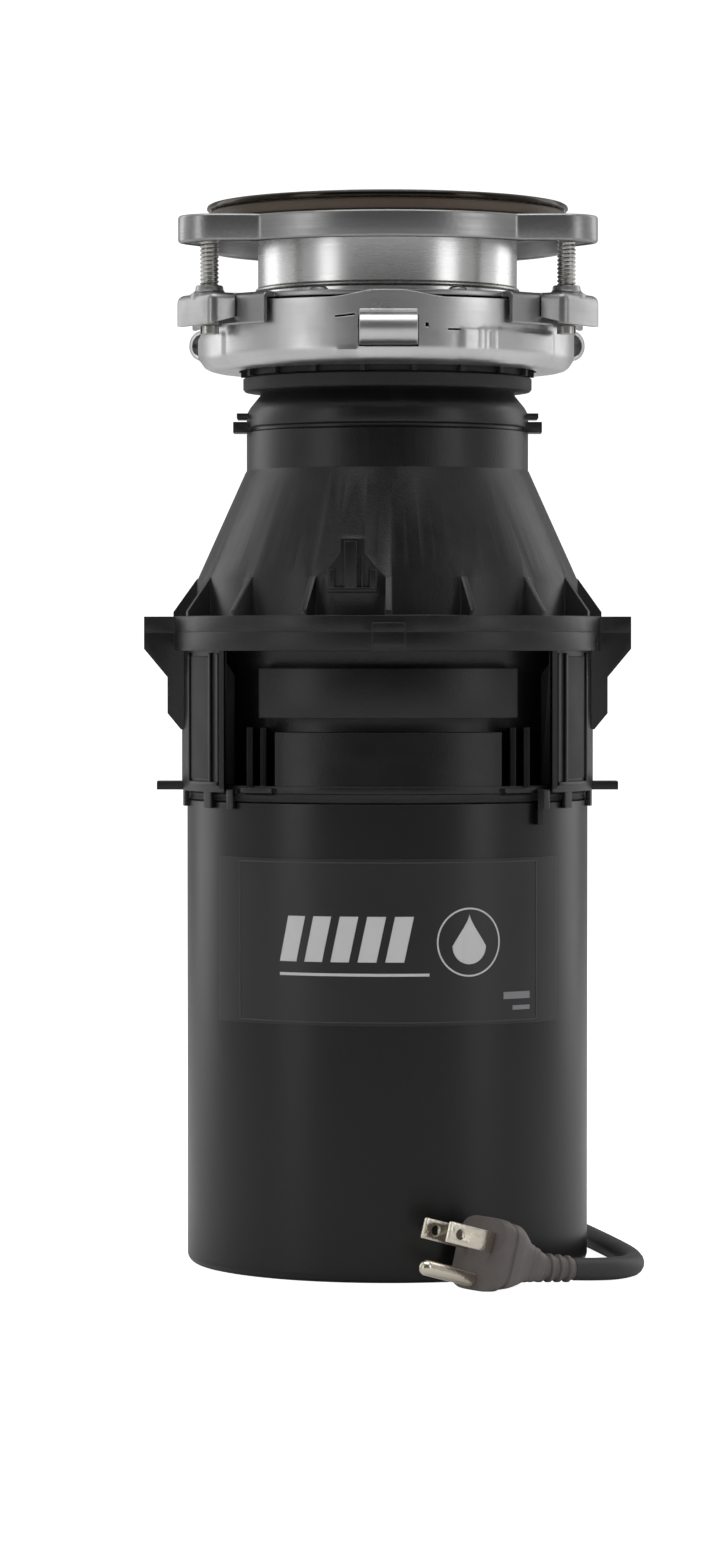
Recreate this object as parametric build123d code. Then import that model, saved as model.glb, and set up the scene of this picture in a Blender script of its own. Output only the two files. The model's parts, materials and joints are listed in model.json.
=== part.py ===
"""Kitchen garbage disposal with its three-bolt sink mount, fitted cord and plug.

Millimetres. The origin is on the floor under the motor axis, +Z is up and the front,
with the label and the plug, faces -Y. Every function builds one separate piece.
"""
import math
import os

from build123d import *

# Motor housing
CAN_RADIUS = 63.5
CAN_WALL = 1.2
CAN_TOP = 146.7
CAN_FLOOR = 1.5
CAN_BORE = CAN_RADIUS - CAN_WALL
BELL_RADIUS = CAN_BORE - 0.1
BOLT_CIRCLE = 54.5
BOLT_RADIUS = 2.5

# Rotor and stator
SHAFT_RADIUS = 6.35
SHAFT_LOW = 5.0
SHAFT_STEP = 196.0
SHAFT_TOP = 211.0
STUB_RADIUS = 5.0
RUNNING_GAP = 0.05
CORE_LOW = 50.0
CORE_HIGH = 100.0
ROTOR_RADIUS = 28.0
STATOR_BORE = 28.5
SLOT_COUNT = 24
SLOT_INNER = 31.0
SLOT_OUTER = 45.0
CAGE_BARS = 16
CAGE_CIRCLE = 24.5

# Lower container, the drain chamber in its cage
CAGE_RADIUS = 65.2
CAGE_WALL = 3.0
CAGE_LOW = 149.8
BASE_LOW = 147.0
FOOT_LOW = 144.8
SEAM = 199.5
RAIL_LOW = 193.7
FLANGE_RADIUS = 68.0
FLANGE_TOP = 204.5
CHAMBER_RADIUS = 51.0
CHAMBER_OUTER = 54.0
WINDOW_HALF = 50.8
EAR_REACH = 76.8
EAR_HALF = 11.0
EAR_BOLT_X = 72.0
PORT_HEIGHT = 174.0
PORT_BORE = 19.4
PORT_OUTER = 22.4
PORT_FACE = 68.0
PORT_SCREW_X = 28.0

# Upper container, the hopper
WALL_RADIUS = 60.3
SEAT_RADIUS = 57.8
CONE_LOW = 216.0
CONE_TOP = 250.2
NECK_RADIUS = 44.6
GUSSETS = 16
INLET_ANGLE = 108.0
INLET_RADIUS = 11.1
INLET_TIP = 76.0
INLET_ROOT = 61.0
INLET_HEIGHT = 232.0

# Grinding parts
GRIND_BORE = 53.0
GRIND_LOW = 195.0
GRIND_HIGH = 214.0
TABLE_RADIUS = 52.4
TABLE_LOW = 197.0
TABLE_TOP = 200.0
PIVOT_CIRCLE = 36.0
RIVET_RADIUS = 3.0

# Sink mount
RING_RADIUS = 60.0
RING_LOW = 282.0
RING_TOP = 304.0
LOOP_HEIGHT = 291.8
LOOP_CIRCLE = 63.7
LOOP_RADIUS = 5.0
LOOP_BORE = 3.6
LOOP_HALF = 9.0
EAR_ANGLES = (-30.0, 90.0, 210.0)
LOOP_ANGLES = {"front": 270.0, "right": 30.0, "left": 150.0}
PLATE_LOW = 302.4
PLATE_TOP = 304.4
SKIRT_RADIUS = 62.2
SKIRT_LOW = 294.4
SKIRT_HALF = 22.0
SKIRT_GAP = 5.0
SCREW_CIRCLE = 64.0
SCREW_RADIUS = 3.0
BACKUP_LOW = 320.2
BACKUP_TOP = 328.6
RIM_RADIUS = 57.15
RIM_LOW = 332.6
THROAT_OUTER = 41.0
THROAT_BORE = 39.4

# Cord: three feet of 7 mm lead, wound behind the can and then led round its right side
CORD_RADIUS = 3.5
RELIEF_ANGLE = 112.0
RELIEF_HEIGHT = 12.0
RELIEF_TIP = 96.0
LEAD_ROUTE = ((-36, 89, 12), (-41, 103, 11), (-43, 127, 5.8), (-42.7, 149, 3.5))
RUN_ROUTE = (
    (41, 149, 9.6), (45.5, 120, 7), (54.5, 84, 3.6), (63.5, 44, 3.5), (71, 6, 3.5), (75.5, -20, 3.5),
    (76.8, -39.9, 3.5), (73.1, -49.2, 3.5), (65.9, -56.1, 3.7), (56.5, -59.5, 4.2),
)
COIL_CENTRE = (0.9, 149)
COIL_RADIUS = 40.1
PLUG_FACE = (27, -77.5, 11.5)
PLUG_AXIS = (-0.79, -0.553, 0.265)
PLUG_SIDE = (0.573, -0.819, 0)
PLUG_LENGTH = 23.0

BOX = (Align.CENTER, Align.CENTER, Align.MIN)


def turned(*points, radii=None):
    """Solid of revolution about Z; points are (radius, height) and radii round the corners."""
    outline = FilletPolyline(*points, radius=radii, close=True) if radii else Polyline(*points, close=True)
    return revolve(Plane.XZ * make_face(outline), Axis.Z)


def ring(outer, inner, low, high):
    """Plain collar about Z."""
    return turned((inner, low), (outer, low), (outer, high), (inner, high))


def sector(outer, inner, low, high, middle, half):
    """Part of a collar, centred on the angle middle and reaching half each way."""
    outline = Polyline((inner, low), (outer, low), (outer, high), (inner, high), close=True)
    face = Plane.XZ * make_face(outline)
    return Rot(0, 0, middle - half) * revolve(face, Axis.Z, revolution_arc=2 * half)


def post(x, y, radius, low, high):
    """Upright round bar."""
    return Pos(x, y, low) * Cylinder(radius, high - low, align=BOX)


def block(x_low, x_high, y_low, y_high, low, high):
    """Square block between two corners."""
    size = (x_high - x_low, y_high - y_low, high - low)
    return Pos((x_low + x_high) / 2, (y_low + y_high) / 2, low) * Box(*size, align=BOX)


def spoke(shape, angle):
    """A piece drawn along +X, turned about Z to its angle."""
    return Rot(0, 0, angle) * shape


def at(radius, angle):
    """Plan position of a polar point."""
    return radius * math.cos(math.radians(angle)), radius * math.sin(math.radians(angle))


def slab(points, half):
    """Outline in the XZ plane, thickened half each way along Y."""
    return extrude(Plane.XZ * make_face(Polyline(*points, close=True)), half, both=True)


def every(count, start=0.0):
    """Evenly spread angles."""
    return [start + 360 * i / count for i in range(count)]


def motor_can():
    can = turned(
        (8.5, 0), (CAN_RADIUS, 0), (CAN_RADIUS, CAN_TOP), (CAN_BORE, CAN_TOP), (CAN_BORE, CAN_FLOOR),
        (8.5, CAN_FLOOR), radii=[0, 3, 0, 0, 1.8, 0],
    )
    can -= block(-22, 22, 23, 49, -1, 3)
    can -= post(30, -26, 5.2, -1, 3)
    gland = Pos(0, 0, RELIEF_HEIGHT) * Rot(0, 90, 0) * Cylinder(5, 30, align=BOX)
    return can - spoke(Pos(50, 0, 0) * gland, RELIEF_ANGLE)


def label_plate():
    return sector(CAN_RADIUS + 0.35, CAN_RADIUS + 0.02, 79, 130, 270, 55)


def lower_end_bell():
    bell = ring(BELL_RADIUS, 9.05, 17, 21) + ring(14, 9.05, 8, 24) + ring(BELL_RADIUS, 58.5, 21, 34)
    for angle in every(4, 45):
        bell -= spoke(block(26, 49, -13, 13, 16, 22), angle)
    for angle in every(4):
        bell -= post(*at(BOLT_CIRCLE, angle), BOLT_RADIUS + 0.2, 16, 22)
    return bell


def upper_end_bell():
    bell = ring(BELL_RADIUS, 10.05, 138, 142) + ring(15, 10.05, 124, CAN_TOP)
    bell += ring(BELL_RADIUS, 58.5, 128, 138) + ring(BELL_RADIUS, 44, 142, CAN_TOP)
    for angle in every(4):
        bell -= post(*at(BOLT_CIRCLE, angle), BOLT_RADIUS + 0.2, 127, 145)
    return bell


def bearing(outer, low, high):
    return ring(outer, SHAFT_RADIUS + RUNNING_GAP, low, high)


def stator_core():
    core = ring(BELL_RADIUS, STATOR_BORE, CORE_LOW, CORE_HIGH)
    for angle in every(SLOT_COUNT):
        core -= spoke(block(SLOT_INNER, SLOT_OUTER, -2.1, 2.1, CORE_LOW - 1, CORE_HIGH + 1), angle)
        core -= spoke(block(STATOR_BORE - 1, SLOT_INNER, -1, 1, CORE_LOW - 1, CORE_HIGH + 1), angle)
    for angle in every(4):
        core -= post(*at(BOLT_CIRCLE, angle), BOLT_RADIUS + 0.2, CORE_LOW - 1, CORE_HIGH + 1)
    return core


def stator_windings():
    inner, outer = SLOT_INNER + 0.3, SLOT_OUTER - 0.3
    coil = ring(outer, inner, CORE_HIGH + 4, CORE_HIGH + 15) + ring(outer, inner, CORE_LOW - 14, CORE_LOW - 4)
    for angle in every(SLOT_COUNT):
        coil += spoke(block(inner + 0.5, outer - 0.5, -1.8, 1.8, CORE_LOW - 6, CORE_HIGH + 6), angle)
    return coil


def rotor_core():
    core = ring(ROTOR_RADIUS, SHAFT_RADIUS + 0.02, CORE_LOW + 2, CORE_HIGH - 2)
    for angle in every(CAGE_BARS):
        core -= post(*at(CAGE_CIRCLE, angle), 1.9, CORE_LOW, CORE_HIGH)
    return core


def rotor_cage():
    cage = ring(27, 18, CORE_LOW - 4, CORE_LOW + 2) + ring(27, 18, CORE_HIGH - 2, CORE_HIGH + 4)
    for angle in every(CAGE_BARS):
        cage += post(*at(CAGE_CIRCLE, angle), 1.8, CORE_LOW, CORE_HIGH)
    return cage


def rotor_shaft():
    shaft = post(0, 0, SHAFT_RADIUS, SHAFT_LOW, SHAFT_STEP) + post(0, 0, STUB_RADIUS, SHAFT_STEP, SHAFT_TOP)
    socket = extrude(RegularPolygon(3.2, 6, major_radius=False), 8)
    return shaft - Pos(0, 0, SHAFT_LOW - 1) * socket


def thrust_washer():
    return ring(11, SHAFT_RADIUS + 0.02, 121.6, 123.6)


def centrifugal_actuator():
    bore = SHAFT_RADIUS + RUNNING_GAP
    collar = ring(12, bore, 107, 119) + ring(22, 12, 115, 117)
    for angle in every(2, 90):
        collar += spoke(block(11, 20, -5, 5, 109, 115), angle)
    return collar


def start_switch():
    body = block(16, 30, -8, 8, 122, 137.9)
    return body + block(18, 28, -2, 2, 117.6, 122)


def through_bolt(angle):
    x, y = at(BOLT_CIRCLE, angle)
    return post(x, y, BOLT_RADIUS, 16.9, 144.5) + post(x, y, 4.5, 13.4, 16.95)


def overload_protector():
    return block(19, 41, -37, -15, 8, 16.5) - post(30, -26, 3.3, 7, 13)


def reset_button():
    return post(30, -26, 4.8, 0.4, 3.2) + post(30, -26, 3.0, 3.2, 9.4)


def cover_plate():
    plate = block(-25, 25, 20, 51.5, 1.55, 2.75)
    for x in (-17, 0, 17):
        plate -= post(x, 36, 1.6, 1, 3)
    return plate


def cover_screw(x):
    return post(x, 36, 3, 0.35, 1.5) + post(x, 36, 1.5, 1.5, 7)


def lower_container():
    body = turned(
        (12, 148), (20, 148), (20, 150.5), (52, 150.5), (52, BASE_LOW), (60, BASE_LOW), (60, CAGE_LOW),
        (62.6, CAGE_LOW), (62.6, 152), (CHAMBER_OUTER, 152), (CHAMBER_OUTER, 186), (56.2, 190),
        (56.2, RAIL_LOW), (FLANGE_RADIUS, RAIL_LOW), (FLANGE_RADIUS, SEAM), (SEAT_RADIUS, SEAM),
        (SEAT_RADIUS, GRIND_LOW), (53.8, GRIND_LOW), (53.8, 190), (CHAMBER_RADIUS, 186),
        (CHAMBER_RADIUS, 154), (20, 154), (17, 160), (12, 160),
    )
    wall = ring(CAGE_RADIUS, CAGE_RADIUS - CAGE_WALL, CAGE_LOW, RAIL_LOW)
    wall -= block(-WINDOW_HALF, WINDOW_HALF, -80, -20, CAGE_LOW - 1, RAIL_LOW)
    wall -= block(-36, 36, 20, 80, CAGE_LOW - 1, RAIL_LOW)
    body += wall
    body += sector(60, CHAMBER_OUTER - 1, 173, 188.3, 270, 41.8)
    body += sector(61.6, CHAMBER_OUTER - 1, BASE_LOW, 168.6, 270, 34.5)
    for middle, half in ((49, 1.3), (60, 2), (82, 2.2)):
        for angle in (270 - middle, 270 + middle, 90 - middle, 90 + middle):
            if middle > 49 or angle > 180:
                body += sector(CAGE_RADIUS - 0.2, CAN_RADIUS + 0.3, FOOT_LOW, CAGE_LOW + 1, angle, half)
    for side in (-1, 1):
        for x in (38.5, 42.7):
            body += block(side * x - 0.9, side * x + 0.9, -47, -35, 151, 170)
        body += sector(64.4, CHAMBER_OUTER, CAGE_LOW + 0.1, 151.4, 270 + side * 39.5, 5.6)
        body += block(side * 51.6 - 0.8, side * 51.6 + 0.8, -41.5, -12, 151, RAIL_LOW)
        body += block(side * 51.6 - 0.8, side * 51.6 + 0.8, 12, 41.5, 151, RAIL_LOW)
        for y in (-24, 0, 24):
            start = math.sqrt(CHAMBER_OUTER ** 2 - y ** 2) - 1
            end = math.sqrt(CAGE_RADIUS ** 2 - y ** 2) - 1
            near, far = sorted((side * start, side * end))
            body += block(near, far, y - 1, y + 1, 151, 193.8)
        body += lower_ear(side)
        body += block(min(side * 62, side * 73), max(side * 62, side * 73), -6, 6, 149.8, 152.4)
    lug = [(63, 196), (66, 193.2), (68.6, 193.2), (70.4, 195.6), (70.4, SEAM), (63, SEAM)]
    body += spoke(slab(lug, 5), -90)
    body += block(46.2, 47.8, -46.5, -43.4, 140, 151) - post(0, 0, CAN_RADIUS + 0.3, 130, CAGE_LOW)
    body += discharge_port()
    body -= Pos(0, 44, PORT_HEIGHT) * Rot(-90, 0, 0) * Cylinder(PORT_BORE, 40, align=BOX)
    for x in (-PORT_SCREW_X, PORT_SCREW_X):
        body -= Pos(x, PORT_FACE - 7, PORT_HEIGHT) * Rot(-90, 0, 0) * Cylinder(2, 10, align=BOX)
    body -= ring(63.8, 61.2, SEAM - 1.4, SEAM + 1)
    body -= spoke(Pos(64, 0, 196.8) * Rot(0, 90, 0) * Cylinder(1.3, 8, align=BOX), -15)
    return body


def discharge_port():
    """Outlet tube with its two-lobed face, trimmed clear of the chamber and of the ring seat."""
    port = Pos(0, 44, PORT_HEIGHT) * Rot(-90, 0, 0) * Cylinder(PORT_OUTER, PORT_FACE - 44, align=BOX)
    pad = Pos(0, PORT_FACE - 5, PORT_HEIGHT) * Rot(-90, 0, 0) * extrude(make_hull(port_outline(9).edges()), 5)
    inside = turned((0, 149), (CHAMBER_OUTER - 1, 149), (CHAMBER_OUTER - 1, 186), (55, 190), (55, 194),
                    (SEAT_RADIUS + 1, 194.5), (SEAT_RADIUS + 1, SEAM), (0, SEAM))
    return port + pad - inside


def port_outline(end_radius):
    """Three circles whose hull is the two-lobed outline of the discharge flange."""
    outline = Sketch() + Circle(PORT_OUTER)
    for x in (-PORT_SCREW_X, PORT_SCREW_X):
        outline += Pos(x, 0) * Circle(end_radius)
    return outline


def lower_ear(side):
    profile = [
        (61, 168.9), (CAGE_RADIUS, 168.9), (69.4, 174), (69.4, 185.4), (EAR_REACH, 194.3), (EAR_REACH, SEAM),
        (61, SEAM),
    ]
    ear = slab([(side * x, z) for x, z in profile], EAR_HALF)
    ear -= ring(61.9, 50, 160, 210)
    ear -= post(side * EAR_BOLT_X, 0, 2.2, 186, SEAM + 1)
    return ear


def container_bolt(side):
    x = side * EAR_BOLT_X
    bolt = post(x, 0, 4, 202.1, 204.3) + post(x, 0, 2.1, 191, 202.1)
    bolt -= block(x - 0.6, x + 0.6, -2.6, 2.6, 203.1, 205)
    return bolt - block(x - 2.6, x + 2.6, -0.6, 0.6, 203.1, 205)


def discharge_plate(low, high, end_radius, bore):
    plate = extrude(make_hull(port_outline(end_radius).edges()), high - low)
    plate -= post(0, 0, bore, -1, 10)
    for x in (-PORT_SCREW_X, PORT_SCREW_X):
        plate -= post(x, 0, 2.3, -1, 10)
    return Pos(0, low, PORT_HEIGHT) * Rot(-90, 0, 0) * plate


def discharge_screw(x):
    screw = post(0, 0, 1.9, -5, 5.1) + post(0, 0, 3.8, 5.1, 7.6)
    screw -= block(-0.6, 0.6, -2.4, 2.4, 6.4, 9)
    screw -= block(-2.4, 2.4, -0.6, 0.6, 6.4, 9)
    return Pos(x, PORT_FACE, PORT_HEIGHT) * Rot(-90, 0, 0) * screw


def upper_container():
    body = turned(
        (SEAT_RADIUS, SEAM), (FLANGE_RADIUS, SEAM), (FLANGE_RADIUS, FLANGE_TOP), (WALL_RADIUS, FLANGE_TOP),
        (WALL_RADIUS, CONE_LOW), (44.9, CONE_TOP), (NECK_RADIUS, CONE_TOP + 0.4), (NECK_RADIUS, 262.6),
        (43.4, 263.1), (43.4, 264), (NECK_RADIUS, 264.5), (NECK_RADIUS, 268.4), (43.5, 270.5),
        (40.4, 274.3), (40, 275.6), (40, 286), (43, 286), (43, 289), (37, 289), (37, 266),
        (41.5, 249), (56.6, 214.6), (SEAT_RADIUS, 214.2),
    )
    for angle in every(GUSSETS, 0):
        rib = slab([(58.8, 204), (67.9, 204), (67.9, 206), (60.4, 216.5), (58.8, 216.5)], 1)
        body += spoke(rib, angle)
    for side in (-1, 1):
        ear = block(60, EAR_REACH, -EAR_HALF, EAR_HALF, SEAM, FLANGE_TOP) - post(0, 0, 60, 190, 210)
        ear -= post(EAR_BOLT_X, 0, 2.2, SEAM - 1, FLANGE_TOP)
        ear -= post(EAR_BOLT_X, 0, 4.3, 202, FLANGE_TOP + 1)
        body += spoke(ear, 0 if side > 0 else 180)
        tab = block(42, 47.6, -8, 8, 267, 268.6) + block(42, 48.8, -6, 6, 262.6, 266)
        body += spoke(tab, 0 if side > 0 else 180)
    body += block(-5, 5, -70.4, -66, SEAM, 202.2)
    hopper = turned((0, 200), (SEAT_RADIUS + 1, 200), (SEAT_RADIUS + 1, 214.6), (43, 249), (0, 249))
    body += front_boss() - hopper
    inlet = Pos(40, 0, INLET_HEIGHT) * Rot(0, 90, 0)
    stub = inlet * Cylinder(INLET_RADIUS, INLET_TIP - 40, align=BOX)
    stub += inlet * Cylinder(INLET_RADIUS + 2, INLET_ROOT - 40, align=BOX)
    stub -= Pos(18, 0, 0) * inlet * Cylinder(8.6, 40, align=BOX)
    return body + spoke(stub - hopper, INLET_ANGLE)


def front_boss():
    """Small moulded catch on the front of the cone, with a narrow top and sloping shoulders."""
    outline = [(-7.5, 211.5), (7.5, 211.5), (7.5, 219), (3.8, 223.5), (3.8, 228), (-3.8, 228), (-3.8, 223.5),
               (-7.5, 219)]
    boss = Plane.XZ * make_face(Polyline(*outline, close=True))
    return Pos(-11, -50, 0) * extrude(boss, 12)


def grind_ring():
    body = ring(SEAT_RADIUS - 0.1, GRIND_BORE, GRIND_LOW + 0.05, GRIND_HIGH)
    for angle in every(36):
        body -= spoke(block(GRIND_BORE - 1, 56, -1.5, 1.5, GRIND_LOW - 1, 207), angle)
    return body


def turntable():
    table = ring(TABLE_RADIUS, SHAFT_RADIUS + 0.02, TABLE_LOW, TABLE_TOP)
    table += ring(TABLE_RADIUS, TABLE_RADIUS - 2, 195.6, TABLE_LOW)
    table += ring(14, SHAFT_RADIUS + 0.02, 186, TABLE_LOW)
    table += ring(20, STUB_RADIUS + 0.05, TABLE_TOP, TABLE_TOP + 2)
    for angle in (0, 180):
        table -= post(*at(PIVOT_CIRCLE, angle), RIVET_RADIUS, TABLE_LOW - 1, TABLE_TOP + 1)
    for angle in every(12, 15):
        table -= post(*at(44, angle), 2, TABLE_LOW - 1, TABLE_TOP + 1)
    return table


def impeller(angle):
    """Swivelling lug: a flat foot round its rivet and a tall hammer nose at the outer end."""
    foot = make_hull((Sketch() + Circle(9) + Pos(7, 0) * Circle(6)).edges())
    lug = extrude(foot, 3.6)
    nose = extrude(make_hull((Sketch() + Pos(9.6, 3) * Circle(3) + Pos(9.6, -3) * Circle(3)).edges()), 11)
    lug += nose
    lug -= post(0, 0, RIVET_RADIUS + RUNNING_GAP, -1, 12)
    return spoke(Pos(PIVOT_CIRCLE, 0, TABLE_TOP + 0.35) * lug, angle)


def impeller_rivet(angle):
    x, y = at(PIVOT_CIRCLE, angle)
    rivet = post(x, y, RIVET_RADIUS - 0.02, 195.9, TABLE_TOP + 4.3)
    return rivet + post(x, y, 5.2, TABLE_TOP + 4.3, TABLE_TOP + 6.2) + post(x, y, 4.6, 195, TABLE_LOW - 0.02)


def turntable_nut():
    nut = extrude(RegularPolygon(9, 6, major_radius=False), 7)
    return Pos(0, 0, TABLE_TOP + 2.02) * (nut - post(0, 0, STUB_RADIUS + 0.02, -1, 8))


def mounting_gasket():
    gasket = turned(
        (40.02, 275.6), (45.1, 275.6), (45.7, 276.3), (45.7, 279.6), (44.4, 280.3), (44.4, 284), (53, 284),
        (53, 288), (46, 290.5), (41.3, 292), (41.3, 300.95), (36.6, 300.95), (36.6, 298.6), (37.6, 298.6),
        (37.6, 295.9), (36.6, 295.9), (36.6, 289.05), (43.02, 289.05), (43.02, 285.98), (40.02, 285.98),
    )
    for angle in every(18):
        gasket += spoke(block(44, 46.4, -0.8, 0.8, 280.2, 284.2), angle)
    return gasket


def splash_baffle():
    baffle = ring(37.5, 10, 296, 298.5)
    for angle in every(8):
        baffle -= spoke(block(9, 32, -0.4, 0.4, 295, 299), angle)
    return baffle


def lower_mounting_ring():
    body = turned(
        (48, RING_LOW), (57, RING_LOW), (RING_RADIUS, 286.2), (RING_RADIUS, RING_TOP), (58.2, RING_TOP),
        (58.2, 286.9), (56, RING_LOW + 1.9), (48, RING_LOW + 1.9),
    )
    for angle in EAR_ANGLES:
        for half, height in ((38, 299.2), (41, 300.6), (44, 302.2)):
            body -= sector(62, 56, height, 306, angle, half)
    for angle in LOOP_ANGLES.values():
        body -= spoke(block(50, 70, -LOOP_HALF - 0.4, LOOP_HALF + 0.4, 286.9, 296.6), angle)
    return body


def wrench_loop(angle):
    """Rolled loop in the ring's wall for the turning bar, with its axis along the wall."""
    outer = Rot(90, 0, 0) * Cylinder(LOOP_RADIUS, 2 * LOOP_HALF)
    back = sector(RING_RADIUS, 58.3, 289.6, 296.4, 0, math.degrees(LOOP_HALF / RING_RADIUS))
    loop = Pos(LOOP_CIRCLE, 0, LOOP_HEIGHT) * outer + back
    loop -= Pos(LOOP_CIRCLE, 0, LOOP_HEIGHT) * Rot(90, 0, 0) * Cylinder(LOOP_BORE, 4 * LOOP_HALF)
    return spoke(loop, angle)


def upper_mounting_ring():
    body = ring(57, 41.6, PLATE_LOW, PLATE_TOP)
    for angle in EAR_ANGLES:
        ear = block(50, 70, -12, 12, PLATE_LOW, PLATE_TOP) + block(68.2, 70, -12, 12, 294.6, PLATE_TOP)
        for side in (-1, 1):
            wing = slab([(61.4, PLATE_LOW), (61.4, 300.5), (69, 296), (69, PLATE_LOW)], 0.8)
            ear += Pos(0, side * 11.2, 0) * wing
        ear += post(SCREW_CIRCLE, 0, 4.3, PLATE_TOP, 307)
        ear += sector(SKIRT_RADIUS, 56, PLATE_LOW, PLATE_TOP, 0, SKIRT_HALF)
        for side in (-1, 1):
            middle = side * (SKIRT_HALF + SKIRT_GAP) / 2
            ear += sector(SKIRT_RADIUS, 60.4, SKIRT_LOW, PLATE_TOP, middle, (SKIRT_HALF - SKIRT_GAP) / 2)
        ear -= post(SCREW_CIRCLE, 0, SCREW_RADIUS + 0.06, 290, 310)
        body += spoke(ear, angle)
    return body


def mounting_screw(angle):
    x, y = at(SCREW_CIRCLE, angle)
    screw = post(x, y, SCREW_RADIUS, 292, BACKUP_TOP - 1.9)
    return screw - Pos(x, y, 291) * Rot(0, 0, angle) * Box(8, 1.1, 2.4, align=BOX)


def lobed(margin):
    """Backup flange outline, drawn in by a margin."""
    outline = Sketch() + Circle(58 - margin)
    for angle in EAR_ANGLES:
        lobe = Sketch() + Pos(*at(62, angle)) * Circle(11.5 - margin)
        lobe += Pos(*at(28, angle)) * Circle(28 - margin)
        outline += make_hull(lobe.edges())
    return outline


def backup_flange():
    plate = Pos(0, 0, BACKUP_LOW) * extrude(lobed(0), BACKUP_TOP - BACKUP_LOW)
    plate -= Pos(0, 0, BACKUP_LOW - 1) * extrude(lobed(1.8), BACKUP_TOP - BACKUP_LOW - 0.8)
    return plate - post(0, 0, 44, 320, 340)


def fiber_gasket():
    return ring(56.2, 46.4, BACKUP_TOP + 0.02, RIM_LOW - 0.1)


def snap_ring():
    return ring(43.2, 40.25, 306.7, 308.1) - block(-6, 6, 30, 50, 300, 310)


def sink_flange():
    return turned(
        (THROAT_BORE, 301), (THROAT_BORE, 336.1), (RIM_RADIUS, 334.6), (RIM_RADIUS, RIM_LOW),
        (THROAT_OUTER, RIM_LOW), (THROAT_OUTER, 308.2), (40.2, 308.2), (40.2, 306.6), (THROAT_OUTER, 306.6),
        (THROAT_OUTER, 301), radii=[0, 6.5, 0.5, 0, 5, 0, 0, 0, 0, 0],
    )


def strain_relief():
    """Gland collar on the can with a tapered rubber sleeve round the cord."""
    sleeve = Plane.XZ * make_face(Polyline(
        (0, 57), (4.8, 57), (4.8, 63.6), (8.5, 63.7), (8.5, 66.5), (6.6, 67), (4.2, RELIEF_TIP),
        (0, RELIEF_TIP),
        close=True,
    ))
    sleeve = Rot(0, 90, 0) * revolve(sleeve, Axis.Z)
    return spoke(Pos(0, 0, RELIEF_HEIGHT) * sleeve, RELIEF_ANGLE)


def cord_tube(name, route):
    """Round lead along straight runs joined by tangent arcs as large as the runs allow."""
    points = [Vector(*point) for point in route]
    radii = []
    for before, corner, after in zip(points, points[1:], points[2:]):
        turn = math.radians((corner - before).get_angle(after - corner))
        shorter = min((corner - before).length, (after - corner).length)
        radii.append(0.45 * shorter / math.tan(turn / 2))
    path = FilletPolyline(*points, radius=radii)
    start = Plane(origin=points[0], z_dir=points[1] - points[0])
    tube = sweep(start * Circle(CORD_RADIUS), path=path)
    section = math.pi * CORD_RADIUS ** 2
    print(name, "bend radii", [round(radius, 1) for radius in radii], "length", round(path.length, 1))
    print(name, "volume", round(tube.volume, 1), "section x length", round(section * path.length, 1))
    return tube


def cord_coil():
    """Outer shape of the wound lead: two turns side by side with half a turn on top."""
    outer, inner = COIL_RADIUS + 2 * CORD_RADIUS, COIL_RADIUS - 2 * CORD_RADIUS
    coil = turned(
        (inner, 0), (outer, 0), (outer, 7), (COIL_RADIUS + 3.5, 13.1), (COIL_RADIUS - 3.5, 13.1),
        (inner, 7),
    )
    return Pos(*COIL_CENTRE, 0) * coil


def plug_plane(depth=0.0):
    """Plane across the plug; depth is measured back from its face."""
    face = Vector(*PLUG_FACE) - Vector(*PLUG_AXIS).normalized() * depth
    return Plane(origin=face, x_dir=PLUG_SIDE, z_dir=PLUG_AXIS)


def plug_body():
    sections = [(0, 24, 22.8, -0.2), (8, 23, 20, 0.8), (15, 14, 13, 0.4), (PLUG_LENGTH, 9.5, 9, 0.2)]
    faces = [
        plug_plane(depth) * Pos(0, lift) * RectangleRounded(width, height, 3.2)
        for depth, width, height, lift in sections
    ]
    body = loft(Sketch() + faces, ruled=True)
    tail = Vector(*PLUG_FACE) - Vector(*PLUG_AXIS).normalized() * PLUG_LENGTH
    end = Vector(*RUN_ROUTE[-1])
    along = Plane(origin=tail, z_dir=end - tail)
    sleeve = along * Cone(4.6, 4.0, (end - tail).length, align=BOX)
    return body + sleeve


def plug_blades():
    blades = []
    for x in (-6.35, 6.35):
        blade = Pos(x, 3.5, 0.05) * Box(1.5, 6.3, 17, align=BOX)
        blade -= Pos(x, 3.5, 13) * Rot(0, 90, 0) * Cylinder(1.6, 4)
        blades.append(plug_plane().location * blade)
    return blades


def plug_ground_pin():
    pin = Pos(0, -8.3, 0.05) * Cylinder(2.4, 17.5, align=BOX) + Pos(0, -8.3, 17.5) * Sphere(2.4)
    return plug_plane().location * pin


def write(name, *shapes):
    """Write one piece, of one or more solids, to its own file."""
    solids = [solid for shape in shapes for solid in shape.solids()]
    export_step(solids[0] if len(solids) == 1 else Compound(children=solids), f"parts/{name}.step")


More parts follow.
